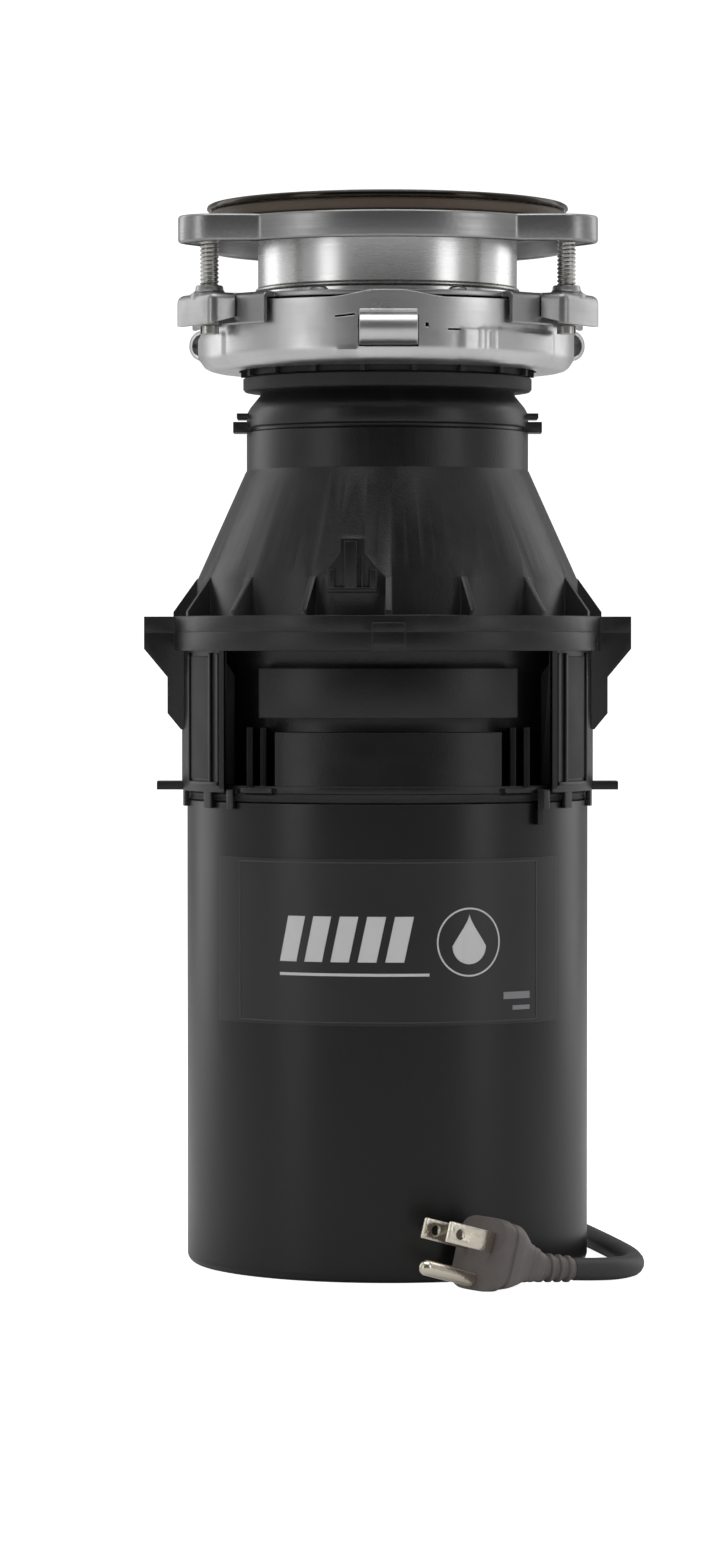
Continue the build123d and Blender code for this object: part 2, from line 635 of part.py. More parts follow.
def main():
    os.makedirs("parts", exist_ok=True)
    write("motor_can", motor_can())
    write("label_plate", label_plate())
    write("lower_end_bell", lower_end_bell())
    write("upper_end_bell", upper_end_bell())
    write("lower_bearing", bearing(9, 8, 24))
    write("upper_bearing", bearing(10, 124, 147.4))
    write("stator_core", stator_core())
    write("stator_windings", stator_windings())
    write("rotor_core", rotor_core())
    write("rotor_cage", rotor_cage())
    write("rotor_shaft", rotor_shaft())
    write("thrust_washer", thrust_washer())
    write("centrifugal_actuator", centrifugal_actuator())
    write("start_switch", start_switch())
    write("through_bolts", *[through_bolt(angle) for angle in every(4)])
    write("overload_protector", overload_protector())
    write("reset_button", reset_button())
    write("cover_plate", cover_plate())
    write("cover_screws", cover_screw(-17), cover_screw(17))
    write("ground_screw", cover_screw(0))
    write("lower_container", lower_container())
    write("container_gasket", ring(63.7, 61.3, SEAM - 1.35, SEAM - 0.02))
    write("container_bolts", container_bolt(-1), container_bolt(1))
    write("discharge_gasket", discharge_plate(PORT_FACE + 0.02, PORT_FACE + 2.5, 9, PORT_BORE))
    write("discharge_flange", discharge_plate(PORT_FACE + 2.52, PORT_FACE + 5, 8.4, PORT_BORE))
    write("discharge_screws", discharge_screw(-PORT_SCREW_X), discharge_screw(PORT_SCREW_X))
    write("shaft_seal", ring(11.95, SHAFT_RADIUS + RUNNING_GAP, 149, 155))
    write("seal_spring", Pos(0, 0, 156.1) * Torus(9.4, 1))
    write("water_slinger", turned((6.4, 162), (14, 162), (17, 163.5), (17, 165), (6.4, 166.5)))
    write("upper_container", upper_container())
    write("grind_ring", grind_ring())
    write("turntable", turntable())
    write("turntable_nut", turntable_nut())
    for name, angle in (("right", 0), ("left", 180)):
        write(f"impeller_{name}", impeller(angle))
        write(f"impeller_rivet_{name}", impeller_rivet(angle))
    write("mounting_gasket", mounting_gasket())
    write("splash_baffle", splash_baffle())
    write("lower_mounting_ring", lower_mounting_ring())
    for name, angle in LOOP_ANGLES.items():
        write(f"wrench_loop_{name}", wrench_loop(angle))
    write("upper_mounting_ring", upper_mounting_ring())
    for name, angle in zip(("right", "back", "left"), EAR_ANGLES):
        write(f"mounting_screw_{name}", mounting_screw(angle))
    write("backup_flange", backup_flange())
    write("fiber_gasket", fiber_gasket())
    write("snap_ring", snap_ring())
    write("sink_flange", sink_flange())
    write("strain_relief", strain_relief())
    write("cord_lead", cord_tube("cord_lead", LEAD_ROUTE))
    write("cord_coil", cord_coil())
    write("cord_run", cord_tube("cord_run", RUN_ROUTE))
    write("plug_body", plug_body())
    write("plug_blades", *plug_blades())
    write("plug_ground_pin", plug_ground_pin())


main()
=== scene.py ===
"""Studio scene of a kitchen garbage disposal standing on its base, with its sink mount, cord and plug.

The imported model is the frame. Every visible piece is dressed here, and the pieces whose moulded, stamped
or rolled shape is finer than the frame's are built with bmesh operators and ride on the frame's bodies.
"""
from __future__ import annotations

import json
import logging
import math
from dataclasses import dataclass
from enum import Enum
from typing import Callable, Iterable, Sequence

import bmesh
import bpy
from mathutils import Matrix, Vector

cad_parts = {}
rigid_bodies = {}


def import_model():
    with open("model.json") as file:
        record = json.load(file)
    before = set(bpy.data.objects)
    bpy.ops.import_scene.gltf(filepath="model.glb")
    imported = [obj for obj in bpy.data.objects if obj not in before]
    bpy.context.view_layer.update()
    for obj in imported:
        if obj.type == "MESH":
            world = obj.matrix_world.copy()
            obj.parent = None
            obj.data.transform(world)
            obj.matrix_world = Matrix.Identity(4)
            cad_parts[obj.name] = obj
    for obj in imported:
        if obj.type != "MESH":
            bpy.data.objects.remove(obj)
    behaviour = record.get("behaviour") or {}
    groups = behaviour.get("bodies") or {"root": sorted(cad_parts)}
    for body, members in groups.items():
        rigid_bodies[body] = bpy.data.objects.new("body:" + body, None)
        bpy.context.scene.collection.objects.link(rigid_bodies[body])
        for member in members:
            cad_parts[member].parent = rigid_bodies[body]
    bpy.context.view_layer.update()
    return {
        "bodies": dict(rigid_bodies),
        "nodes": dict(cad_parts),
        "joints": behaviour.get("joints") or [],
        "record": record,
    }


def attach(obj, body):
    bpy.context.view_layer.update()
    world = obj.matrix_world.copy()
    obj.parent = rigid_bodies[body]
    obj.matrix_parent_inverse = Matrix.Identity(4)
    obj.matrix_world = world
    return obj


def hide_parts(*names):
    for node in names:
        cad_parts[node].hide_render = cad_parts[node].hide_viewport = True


LOG = logging.getLogger("disposal")
MM = 0.001
FULL_TURN = 2 * math.pi
SMOOTH_ANGLE = math.radians(32)
GIRTH_RADIUS = 0.06
SENSOR_WIDTH = 36.0
LAMP_AIM = Vector((0, 0, 0.17))
FRAME: dict = {}

Outline = Sequence[tuple[float, float]]


class Side(Enum):
    """Left and right of the housing, seen from the label."""

    LEFT = -1
    RIGHT = 1


class Lay(Enum):
    """Which way the fine marks of a finish run."""

    ALL_WAYS = "all_ways"
    UPRIGHT = "upright"
    ROUND = "round"


# ---------------------------------------------------------------- shader groups


class Canvas:
    """Adds, sets and links the nodes of one shader tree."""

    def __init__(self, tree: bpy.types.NodeTree) -> None:
        """Start on an empty tree.

        Args:
            tree: The node tree to draw in.
        """
        self.tree = tree
        tree.nodes.clear()

    def add(self, kind: str, **values: object) -> bpy.types.Node:
        """Add a node and set its properties and input defaults.

        Args:
            kind: The node's type name, without its ShaderNode prefix.
            values: Property values, or input values under the input's name with underscores.

        Returns:
            The new node.
        """
        name = kind if kind.startswith(("Node", "Shader")) else "ShaderNode" + kind
        node = self.tree.nodes.new(name)
        for key, value in values.items():
            if hasattr(node, key):
                setattr(node, key, value)
            else:
                node.inputs[key.replace("_", " ")].default_value = value
        return node

    def join(self, source: bpy.types.NodeSocket, target: bpy.types.NodeSocket) -> None:
        """Link one socket to another."""
        self.tree.links.new(source, target)

    def maths(self, operation: str, *terms: object) -> bpy.types.NodeSocket:
        """Add a Math node.

        Args:
            operation: The node's operation name.
            terms: Sockets or numbers, in input order.

        Returns:
            The result socket.
        """
        node = self.add("Math", operation=operation)
        for place, term in enumerate(terms):
            if isinstance(term, bpy.types.NodeSocket):
                self.join(term, node.inputs[place])
            else:
                node.inputs[place].default_value = term
        return node.outputs[0]

    def ramp(self, source: bpy.types.NodeSocket, low: float, high: float) -> bpy.types.NodeSocket:
        """Stretch a value between two limits to the range 0 to 1.

        Args:
            source: The value to stretch.
            low: The value that becomes 0.
            high: The value that becomes 1.

        Returns:
            The stretched value's socket.
        """
        node = self.add("MapRange", clamp=True)
        node.inputs["From Min"].default_value = low
        node.inputs["From Max"].default_value = high
        self.join(source, node.inputs["Value"])
        return node.outputs["Result"]


def group_tree(name: str, inputs: Iterable[tuple[str, str, float]], outputs: Iterable[tuple[str, str]],
               draw: Callable[[Canvas, bpy.types.Node, bpy.types.Node], None]) -> bpy.types.NodeTree:
    """Build a shader node group once and hand it back afterwards.

    Args:
        name: The group's name.
        inputs: Name, socket type and default of each input.
        outputs: Name and socket type of each output.
        draw: Fills the group, given its canvas and its input and output nodes.

    Returns:
        The group's node tree.
    """
    if name in bpy.data.node_groups:
        return bpy.data.node_groups[name]
    tree = bpy.data.node_groups.new(name, "ShaderNodeTree")
    for label, kind, default in inputs:
        socket = tree.interface.new_socket(name=label, in_out="INPUT", socket_type=kind)
        if kind == "NodeSocketFloat":
            socket.default_value = default
    for label, kind in outputs:
        tree.interface.new_socket(name=label, in_out="OUTPUT", socket_type=kind)
    canvas = Canvas(tree)
    draw(canvas, canvas.add("NodeGroupInput"), canvas.add("NodeGroupOutput"))
    return tree


def grain_group() -> bpy.types.NodeTree:
    """Moulding or casting grain: a fine pebble, a broad mottle and their sum as a height."""

    def draw(canvas: Canvas, given: bpy.types.Node, result: bpy.types.Node) -> None:
        fine = canvas.add("TexNoise", Detail=2.0, Roughness=0.55)
        broad = canvas.add("TexNoise", Detail=3.0, Roughness=0.6)
        for node, label in ((fine, "Fine Scale"), (broad, "Broad Scale")):
            canvas.join(given.outputs["Vector"], node.inputs["Vector"])
            canvas.join(given.outputs[label], node.inputs["Scale"])
        canvas.join(canvas.ramp(fine.outputs["Fac"], 0.25, 0.75), result.inputs["Fine"])
        canvas.join(canvas.ramp(broad.outputs["Fac"], 0.3, 0.7), result.inputs["Broad"])

    return group_tree(
        "MouldGrain",
        (("Vector", "NodeSocketVector", 0), ("Fine Scale", "NodeSocketFloat", 900.0),
         ("Broad Scale", "NodeSocketFloat", 25.0)),
        (("Fine", "NodeSocketFloat"), ("Broad", "NodeSocketFloat")), draw,
    )


def streak_group() -> bpy.types.NodeTree:
    """Drawn-out marks: noise stretched by a vector, for brushing, rolling and flow lines."""

    def draw(canvas: Canvas, given: bpy.types.Node, result: bpy.types.Node) -> None:
        stretch = canvas.add("VectorMath", operation="MULTIPLY")
        canvas.join(given.outputs["Vector"], stretch.inputs[0])
        canvas.join(given.outputs["Stretch"], stretch.inputs[1])
        noise = canvas.add("TexNoise", Scale=1.0, Detail=4.0, Roughness=0.65)
        canvas.join(stretch.outputs[0], noise.inputs["Vector"])
        canvas.join(canvas.ramp(noise.outputs["Fac"], 0.3, 0.7), result.inputs["Streaks"])

    return group_tree(
        "DrawnStreaks",
        (("Vector", "NodeSocketVector", 0), ("Stretch", "NodeSocketVector", 0)),
        (("Streaks", "NodeSocketFloat"),), draw,
    )


def edge_group() -> bpy.types.NodeTree:
    """Softly rounded edges: the rounded normal, and a mask of where it leaves the flat faces."""

    def draw(canvas: Canvas, given: bpy.types.Node, result: bpy.types.Node) -> None:
        rounded = canvas.add("Bevel", samples=4)
        canvas.join(given.outputs["Radius"], rounded.inputs["Radius"])
        flat = canvas.add("NewGeometry")
        match = canvas.add("VectorMath", operation="DOT_PRODUCT")
        canvas.join(rounded.outputs[0], match.inputs[0])
        canvas.join(flat.outputs["Normal"], match.inputs[1])
        canvas.join(rounded.outputs[0], result.inputs["Normal"])
        canvas.join(canvas.ramp(match.outputs["Value"], 0.98, 0.75), result.inputs["Edges"])

    return group_tree("SoftEdges", (("Radius", "NodeSocketFloat", 0.0004),),
                      (("Normal", "NodeSocketVector"), ("Edges", "NodeSocketFloat")), draw)


def round_group() -> bpy.types.NodeTree:
    """Coordinates that follow the housing round: distance round the axis, height and radius."""

    def draw(canvas: Canvas, given: bpy.types.Node, result: bpy.types.Node) -> None:
        parts = canvas.add("SeparateXYZ")
        canvas.join(given.outputs["Vector"], parts.inputs[0])
        angle = canvas.maths("ARCTAN2", parts.outputs["Y"], parts.outputs["X"])
        squares = [canvas.maths("POWER", parts.outputs[axis], 2.0) for axis in "XY"]
        radius = canvas.maths("SQRT", canvas.maths("ADD", *squares))
        whole = canvas.add("CombineXYZ")
        canvas.join(canvas.maths("MULTIPLY", angle, GIRTH_RADIUS), whole.inputs["X"])
        canvas.join(parts.outputs["Z"], whole.inputs["Y"])
        canvas.join(radius, whole.inputs["Z"])
        canvas.join(whole.outputs[0], result.inputs["Round"])

    return group_tree("RoundTheAxis", (("Vector", "NodeSocketVector", 0),),
                      (("Round", "NodeSocketVector"),), draw)


# ---------------------------------------------------------------- finishes

STRETCHES = {
    Lay.ALL_WAYS: (40.0, 40.0, 40.0),
    Lay.UPRIGHT: (500.0, 500.0, 12.0),
    Lay.ROUND: (14.0, 900.0, 900.0),
}


@dataclass(frozen=True)
class Finish:
    """One surface finish of the disposal, drawn as a procedural material.

    Attributes:
        name: The material's name.
        tone: Linear colour of the bare finish.
        shade: Linear colour that the mottle and the streaks pull towards.
        metallic: Metal share.
        rough: Middle roughness.
        rough_spread: How far the roughness wanders.
        fine: Scale of the fine grain, per metre.
        broad: Scale of the mottle, per metre.
        depth: Bump distance of the grain, in metres.
        streaks: How strongly drawn-out marks show, 0 to 1.
        lay: Which way those marks run.
        coat: Clear coat weight.
        specular: Specular level.
        edge: Radius of the softened edges, in metres.
        wear_and_sheen: How much the edges lighten: rubbed edges, and a painted highlight where the edges
            catch light.
    """

    name: str
    tone: tuple[float, float, float]
    shade: tuple[float, float, float]
    metallic: float = 0.0
    rough: float = 0.45
    rough_spread: float = 0.08
    fine: float = 900.0
    broad: float = 25.0
    depth: float = 0.00008
    streaks: float = 0.0
    lay: Lay = Lay.ALL_WAYS
    coat: float = 0.0
    specular: float = 0.5
    edge: float = 0.0004
    wear_and_sheen: float = 0.25

    def material(self) -> bpy.types.Material:
        """Build the material, or hand back the one already built."""
        if self.name in bpy.data.materials:
            return bpy.data.materials[self.name]
        material = bpy.data.materials.new(self.name)
        material.use_nodes = True
        canvas = Canvas(material.node_tree)
        shader = canvas.add("BsdfPrincipled", Metallic=self.metallic)
        shader.inputs["Coat Weight"].default_value = self.coat
        shader.inputs["Coat Roughness"].default_value = 0.12
        shader.inputs["Specular IOR Level"].default_value = self.specular
        place = canvas.add("TexCoord").outputs["Object"]
        grain = canvas.add("Group", node_tree=grain_group())
        grain.inputs["Fine Scale"].default_value = self.fine
        grain.inputs["Broad Scale"].default_value = self.broad
        canvas.join(place, grain.inputs["Vector"])
        marks = self.marks(canvas, place)
        blend = canvas.maths("MULTIPLY", grain.outputs["Broad"], 1 - self.streaks)
        blend = canvas.maths("ADD", blend, canvas.maths("MULTIPLY", marks, self.streaks))
        colour = canvas.add("MixRGB", Color1=(*self.tone, 1), Color2=(*self.shade, 1))
        canvas.join(blend, colour.inputs["Fac"])
        edges = canvas.add("Group", node_tree=edge_group())
        edges.inputs["Radius"].default_value = self.edge
        # Lighten the edges in the base colour: partly rubbed edges, partly a painted highlight where the
        # edges catch light.
        worn_and_sheen = canvas.add("MixRGB", Color2=(*(min(1.0, 2.2 * part + 0.01) for part in self.tone), 1))
        canvas.join(canvas.maths("MULTIPLY", edges.outputs["Edges"], self.wear_and_sheen), worn_and_sheen.inputs["Fac"])
        canvas.join(colour.outputs[0], worn_and_sheen.inputs["Color1"])
        canvas.join(worn_and_sheen.outputs[0], shader.inputs["Base Color"])
        wander = canvas.maths("MULTIPLY_ADD", blend, self.rough_spread * 2, self.rough - self.rough_spread)
        canvas.join(wander, shader.inputs["Roughness"])
        height = canvas.maths("MULTIPLY_ADD", marks, self.streaks, grain.outputs["Fine"])
        bump = canvas.add("Bump", Strength=0.5, Distance=self.depth)
        canvas.join(height, bump.inputs["Height"])
        canvas.join(edges.outputs["Normal"], bump.inputs["Normal"])
        canvas.join(bump.outputs[0], shader.inputs["Normal"])
        output = canvas.add("OutputMaterial")
        canvas.join(shader.outputs[0], output.inputs["Surface"])
        return material

    def marks(self, canvas: Canvas, place: bpy.types.NodeSocket) -> bpy.types.NodeSocket:
        """Place the streak group along this finish's lay.

        Args:
            canvas: The material's canvas.
            place: Object coordinates.

        Returns:
            The streak mask's socket.
        """
        if self.lay is Lay.ROUND:
            follow = canvas.add("Group", node_tree=round_group())
            canvas.join(place, follow.inputs["Vector"])
            place = follow.outputs["Round"]
        streaks = canvas.add("Group", node_tree=streak_group())
        streaks.inputs["Stretch"].default_value = STRETCHES[self.lay]
        canvas.join(place, streaks.inputs["Vector"])
        return streaks.outputs["Streaks"]


ENAMEL = Finish("satin_black_enamel", (0.004, 0.004, 0.0044), (0.007, 0.007, 0.0075), rough=0.3,
                rough_spread=0.03, fine=1500, broad=18, depth=0.00002, specular=0.42)
MOULDED = Finish("moulded_black_plastic", (0.005, 0.005, 0.0054), (0.014, 0.014, 0.0145), rough=0.36,
                 rough_spread=0.08, fine=1400, broad=40, depth=0.00005, streaks=0.35, lay=Lay.UPRIGHT)
CHAMBER = Finish("moulded_chamber_plastic", (0.004, 0.004, 0.0044), (0.01, 0.01, 0.0105), rough=0.38,
                 rough_spread=0.06, fine=1400, broad=30, depth=0.00005, streaks=0.2, lay=Lay.ROUND)
LABEL = Finish("label_film", (0.012, 0.012, 0.0125), (0.016, 0.016, 0.0165), rough=0.38, rough_spread=0.03,
               fine=2500, depth=0.00001)
PRINT = Finish("label_white_print", (0.75, 0.75, 0.76), (0.68, 0.68, 0.69), rough=0.5, fine=2500,
               depth=0.00001)
FAINT_PRINT = Finish("label_faint_line", (0.06, 0.06, 0.062), (0.05, 0.05, 0.052), rough=0.45, fine=2500)
GREY_PRINT = Finish("label_grey_print", (0.3, 0.3, 0.31), (0.25, 0.25, 0.26), rough=0.5, fine=2500)
CAST = Finish("cast_alloy", (0.5, 0.5, 0.51), (0.38, 0.38, 0.39), metallic=0.9, rough=0.5, fine=1100,
              depth=0.00012)
STAMPED = Finish("stamped_galvanised_steel", (0.72, 0.72, 0.72), (0.58, 0.58, 0.585), metallic=1.0,
                 rough=0.34, rough_spread=0.08, fine=500, broad=45, depth=0.00003, streaks=0.2, lay=Lay.ROUND)
ZINC = Finish("zinc_plated_steel", (0.66, 0.65, 0.62), (0.45, 0.44, 0.41), metallic=1.0, rough=0.3,
              fine=700, broad=120, depth=0.00004)
POLISHED = Finish("polished_stainless", (0.8, 0.8, 0.8), (0.7, 0.7, 0.7), metallic=1.0, rough=0.27,
                  rough_spread=0.04, fine=900, broad=30, depth=0.00001, streaks=0.4, lay=Lay.ROUND)
# Dark brown polished metal for the sink flange's rim: a painted reflection of dark and brown surroundings,
# not the steel's own colour.
RIM_PAINTED_REFLECTION = Finish("rim_painted_reflection", (0.05, 0.042, 0.035), (0.03, 0.025, 0.02), metallic=1.0, rough=0.12,
                    rough_spread=0.04, fine=900, broad=30, depth=0.00001, streaks=0.4, lay=Lay.ROUND)
BRUSHED = Finish("brushed_flange_steel", (0.42, 0.42, 0.42), (0.3, 0.3, 0.3), metallic=1.0, rough=0.34,
                 rough_spread=0.08, fine=700, broad=50, depth=0.00004, streaks=0.5, lay=Lay.ROUND)
FOLDED = Finish("folded_ring_steel", (0.46, 0.46, 0.46), (0.34, 0.34, 0.345), metallic=1.0, rough=0.36,
                rough_spread=0.08, fine=500, broad=45, depth=0.00003, streaks=0.2, lay=Lay.ROUND)
LAMINATED = Finish("laminated_core_steel", (0.2, 0.2, 0.21), (0.11, 0.11, 0.12), metallic=0.8, rough=0.5,
                   fine=600, depth=0.0001, streaks=0.5)
COPPER = Finish("enamelled_copper", (0.6, 0.22, 0.08), (0.4, 0.12, 0.04), metallic=0.9, rough=0.35, fine=800,
                depth=0.0002, streaks=0.6, lay=Lay.ROUND, coat=0.4)
BRONZE = Finish("sintered_bronze", (0.5, 0.32, 0.14), (0.36, 0.22, 0.09), metallic=0.9, rough=0.5, fine=2200)
RUBBER = Finish("moulded_black_rubber", (0.012, 0.012, 0.012), (0.02, 0.02, 0.02), rough=0.62,
                rough_spread=0.07, fine=1600, broad=50, depth=0.00006)
FIBRE = Finish("pressed_brown_fibre", (0.13, 0.095, 0.068), (0.085, 0.06, 0.042), rough=0.55, fine=700,
               depth=0.00015, streaks=0.4, lay=Lay.ROUND)
BUTTON = Finish("gloss_red_plastic", (0.45, 0.01, 0.01), (0.35, 0.008, 0.008), rough=0.22, coat=0.3)
GREEN = Finish("green_dyed_zinc", (0.03, 0.22, 0.07), (0.02, 0.14, 0.045), metallic=0.7, rough=0.35)
SHEATH = Finish("cord_sheath", (0.03, 0.03, 0.031), (0.042, 0.042, 0.043), rough=0.48, fine=1200, broad=80,
                depth=0.00004)
PLUG = Finish("plug_rubber", (0.17, 0.148, 0.14), (0.13, 0.113, 0.107), rough=0.5, fine=1400, broad=90,
              depth=0.00006)
NICKEL = Finish("nickel_plate", (0.85, 0.8, 0.7), (0.7, 0.64, 0.52), metallic=1.0, rough=0.2, fine=900)

CAD_FINISHES: dict[str, Finish] = {
    "motor_can": ENAMEL, "label_plate": LABEL, "lower_end_bell": CAST, "upper_end_bell": CAST,
    "lower_bearing": BRONZE, "upper_bearing": BRONZE, "stator_core": LAMINATED, "stator_windings": COPPER,
    "rotor_core": LAMINATED, "rotor_cage": CAST, "rotor_shaft": ZINC, "thrust_washer": FIBRE,
    "centrifugal_actuator": CHAMBER, "start_switch": CHAMBER, "through_bolts": ZINC,
    "overload_protector": CHAMBER, "reset_button": BUTTON, "cover_plate": ENAMEL, "cover_screws": ZINC,
    "ground_screw": GREEN, "lower_container": CHAMBER, "container_gasket": RUBBER, "container_bolts": ZINC,
    "discharge_gasket": RUBBER, "discharge_flange": STAMPED, "discharge_screws": ZINC, "shaft_seal": RUBBER,
    "seal_spring": ZINC, "water_slinger": RUBBER, "upper_container": MOULDED, "grind_ring": STAMPED,
    "turntable": STAMPED, "turntable_nut": ZINC, "impeller_right": STAMPED, "impeller_left": STAMPED,
    "impeller_rivet_right": ZINC, "impeller_rivet_left": ZINC, "mounting_gasket": RUBBER,
    "splash_baffle": RUBBER, "lower_mounting_ring": STAMPED, "wrench_loop_front": STAMPED,
    "wrench_loop_right": STAMPED, "wrench_loop_left": STAMPED, "upper_mounting_ring": STAMPED,
    "mounting_screw_right": ZINC, "mounting_screw_back": ZINC, "mounting_screw_left": ZINC,
    "backup_flange": STAMPED, "fiber_gasket": FIBRE, "snap_ring": ZINC, "sink_flange": POLISHED,
    "strain_relief": RUBBER, "cord_lead": SHEATH, "cord_coil": SHEATH, "cord_run": SHEATH, "plug_body": PLUG,
    "plug_blades": NICKEL, "plug_ground_pin": NICKEL,
}


# ---------------------------------------------------------------- mesh tools


def link(piece: bpy.types.Object) -> bpy.types.Object:
    """Put a new object in the scene."""
    bpy.context.scene.collection.objects.link(piece)
    return piece


def verts_of(geom: Iterable[object]) -> list[bmesh.types.BMVert]:
    """Pick the vertices out of an operator's geometry."""
    return [item for item in geom if isinstance(item, bmesh.types.BMVert)]


def edges_of(geom: Iterable[object]) -> list[bmesh.types.BMEdge]:
    """Pick the edges out of an operator's geometry."""
    return [item for item in geom if isinstance(item, bmesh.types.BMEdge)]


class Blank:
    """A piece in the making, in millimetres, shaped with bmesh operators and then dressed."""

    def __init__(self, name: str) -> None:
        """Start an empty piece.

        Args:
            name: The finished object's name.
        """
        self.name = name
        self.mesh = bmesh.new()

    def wire(self, points: Iterable[Sequence[float]], closed: bool = True) -> list:
        """Lay a polyline.

        Args:
            points: Corners in order, each x, y, z.
            closed: Whether the last corner joins the first.

        Returns:
            The new vertices and edges.
        """
        verts = [self.mesh.verts.new(point) for point in points]
        ends = verts[1:] + verts[:1] if closed else verts[1:]
        return verts + [self.mesh.edges.new(pair) for pair in zip(verts, ends)]

    def added(self, before: set[bmesh.types.BMVert]) -> list[bmesh.types.BMVert]:
        """List the vertices laid since an earlier moment.

        Args:
            before: The vertices there were then.

        Returns:
            The vertices that are new.
        """
        return [vert for vert in self.mesh.verts if vert not in before]

    def turn(self, outline: Outline, steps: int = 128, closed: bool = True) -> list[bmesh.types.BMVert]:
        """Turn an outline round the Z axis.

        Args:
            outline: Corners as radius and height.
            steps: Facets in the full turn.
            closed: Whether the outline encloses a solid wall.

        Returns:
            The vertices of the turned shape.
        """
        before = set(self.mesh.verts)
        geom = self.wire([(radius, 0, height) for radius, height in outline], closed)
        bmesh.ops.spin(self.mesh, geom=geom, cent=(0, 0, 0), axis=(0, 0, 1), dvec=(0, 0, 0), angle=FULL_TURN,
                       steps=steps, use_merge=True, use_duplicate=False)
        bmesh.ops.remove_doubles(self.mesh, verts=self.added(before), dist=0.001)
        return self.added(before)

    def press(self, outline: Outline, low: float, high: float) -> list[bmesh.types.BMVert]:
        """Raise a flat outline into a slab.

        Args:
            outline: Corners as x and y.
            low: Height of the underside.
            high: Height of the top.

        Returns:
            The slab's vertices.
        """
        before = set(self.mesh.verts)
        geom = self.wire([(x, y, low) for x, y in outline])
        bmesh.ops.contextual_create(self.mesh, geom=geom)
        faces = [face for face in self.mesh.faces if all(vert not in before for vert in face.verts)]
        raised = bmesh.ops.extrude_face_region(self.mesh, geom=faces, use_keep_orig=True)["geom"]
        bmesh.ops.translate(self.mesh, verts=verts_of(raised), vec=(0, 0, high - low))
        return self.added(before)

    def move(self, verts: Iterable[bmesh.types.BMVert], matrix: Matrix) -> None:
        """Carry vertices by a matrix."""
        bmesh.ops.transform(self.mesh, matrix=matrix, verts=list(verts))

    def soften(self, width: float, segments: int = 2, sharper_than: float = 30.0,
               among: Iterable[bmesh.types.BMVert] | None = None) -> None:
        """Round the sharp edges.

        Args:
            width: Width of the rounding.
            segments: Facets across it.
            sharper_than: Only edges that turn by more than this many degrees are rounded.
            among: Vertices to keep to, or None for the whole piece.
        """
        self.mesh.normal_update()
        wanted = None if among is None else set(among)
        sharp = [
            edge for edge in self.mesh.edges
            if edge.is_manifold and edge.calc_face_angle(0.0) > math.radians(sharper_than)
            and (wanted is None or all(vert in wanted for vert in edge.verts))
        ]
        bmesh.ops.bevel(self.mesh, geom=sharp, offset=width, offset_type="OFFSET", segments=segments,
                        profile=0.5, affect="EDGES", clamp_overlap=True, material=-1)

    def thicken(self, wall: float) -> None:
        """Give an open sheet its wall thickness, inwards."""
        bmesh.ops.recalc_face_normals(self.mesh, faces=self.mesh.faces)
        bmesh.ops.solidify(self.mesh, geom=self.mesh.faces[:], thickness=wall)

    def dress(self, finish: Finish, body: str, slot: str, *replaced: str,
              recalc: bool = True) -> bpy.types.Object:
        """Finish the piece: smooth it, clothe it and fix it on its body.

        Args:
            finish: The finish it wears.
            body: The body it rides on.
            slot: The record's material slot. Not used.
            replaced: Frame nodes that it stands for.
            recalc: Whether the normals are still to be turned outwards.

        Returns:
            The finished object.
        """
        if recalc:
            bmesh.ops.remove_doubles(self.mesh, verts=self.mesh.verts[:], dist=0.0005)
            bmesh.ops.recalc_face_normals(self.mesh, faces=self.mesh.faces[:])
        bmesh.ops.scale(self.mesh, vec=(MM, MM, MM), verts=self.mesh.verts[:])
        for face in self.mesh.faces:
            face.smooth = True
        data = bpy.data.meshes.new(self.name)
        self.mesh.to_mesh(data)
        self.mesh.free()
        data.set_sharp_from_angle(angle=SMOOTH_ANGLE)
        data.materials.append(finish.material())
        piece = link(bpy.data.objects.new(self.name, data))
        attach(piece, body)
        if replaced:
            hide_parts(*replaced)
        LOG.info("%s: %d faces", self.name, len(data.polygons))
        return piece


def spoke(angle: float) -> Matrix:
    """Turn from the +X direction to an angle in degrees round the motor axis."""
    return Matrix.Rotation(math.radians(angle), 4, "Z")


def wrap(verts: Iterable[bmesh.types.BMVert], radius: float, middle: float) -> None:
    """Bend flat work round the housing.

    Args:
        verts: Vertices laid flat, with x along the girth, y inwards and z upright.
        radius: Radius that the y = 0 plane takes.
        middle: Angle of x = 0 round the axis, in degrees.
    """
    for vert in verts:
        along, inward, height = vert.co
        out = -inward
        angle = math.radians(middle) + along / radius
        vert.co = ((radius + out) * math.cos(angle), (radius + out) * math.sin(angle), height)


def copy_of(node: str, name: str) -> Blank:
    """Start a piece from a merged copy of a frame node.

    Args:
        node: The frame node's name.
        name: The new piece's name.

    Returns:
        The blank, in millimetres, with its flat faces whole.
    """
    blank = Blank(name)
    blank.mesh.from_mesh(FRAME["nodes"][node].data)
    bmesh.ops.scale(blank.mesh, vec=(1 / MM, 1 / MM, 1 / MM), verts=blank.mesh.verts[:])
    bmesh.ops.remove_doubles(blank.mesh, verts=blank.mesh.verts[:], dist=0.002)
    bmesh.ops.dissolve_limit(blank.mesh, angle_limit=math.radians(0.6), verts=blank.mesh.verts[:],
                             edges=blank.mesh.edges[:])
    return blank


def smooth_step(value: float, low: float, high: float) -> float:
    """Ease from 0 at low to 1 at high."""
    share = min(max((value - low) / (high - low), 0.0), 1.0)
    return share * share * (3 - 2 * share)


# ---------------------------------------------------------------- studio


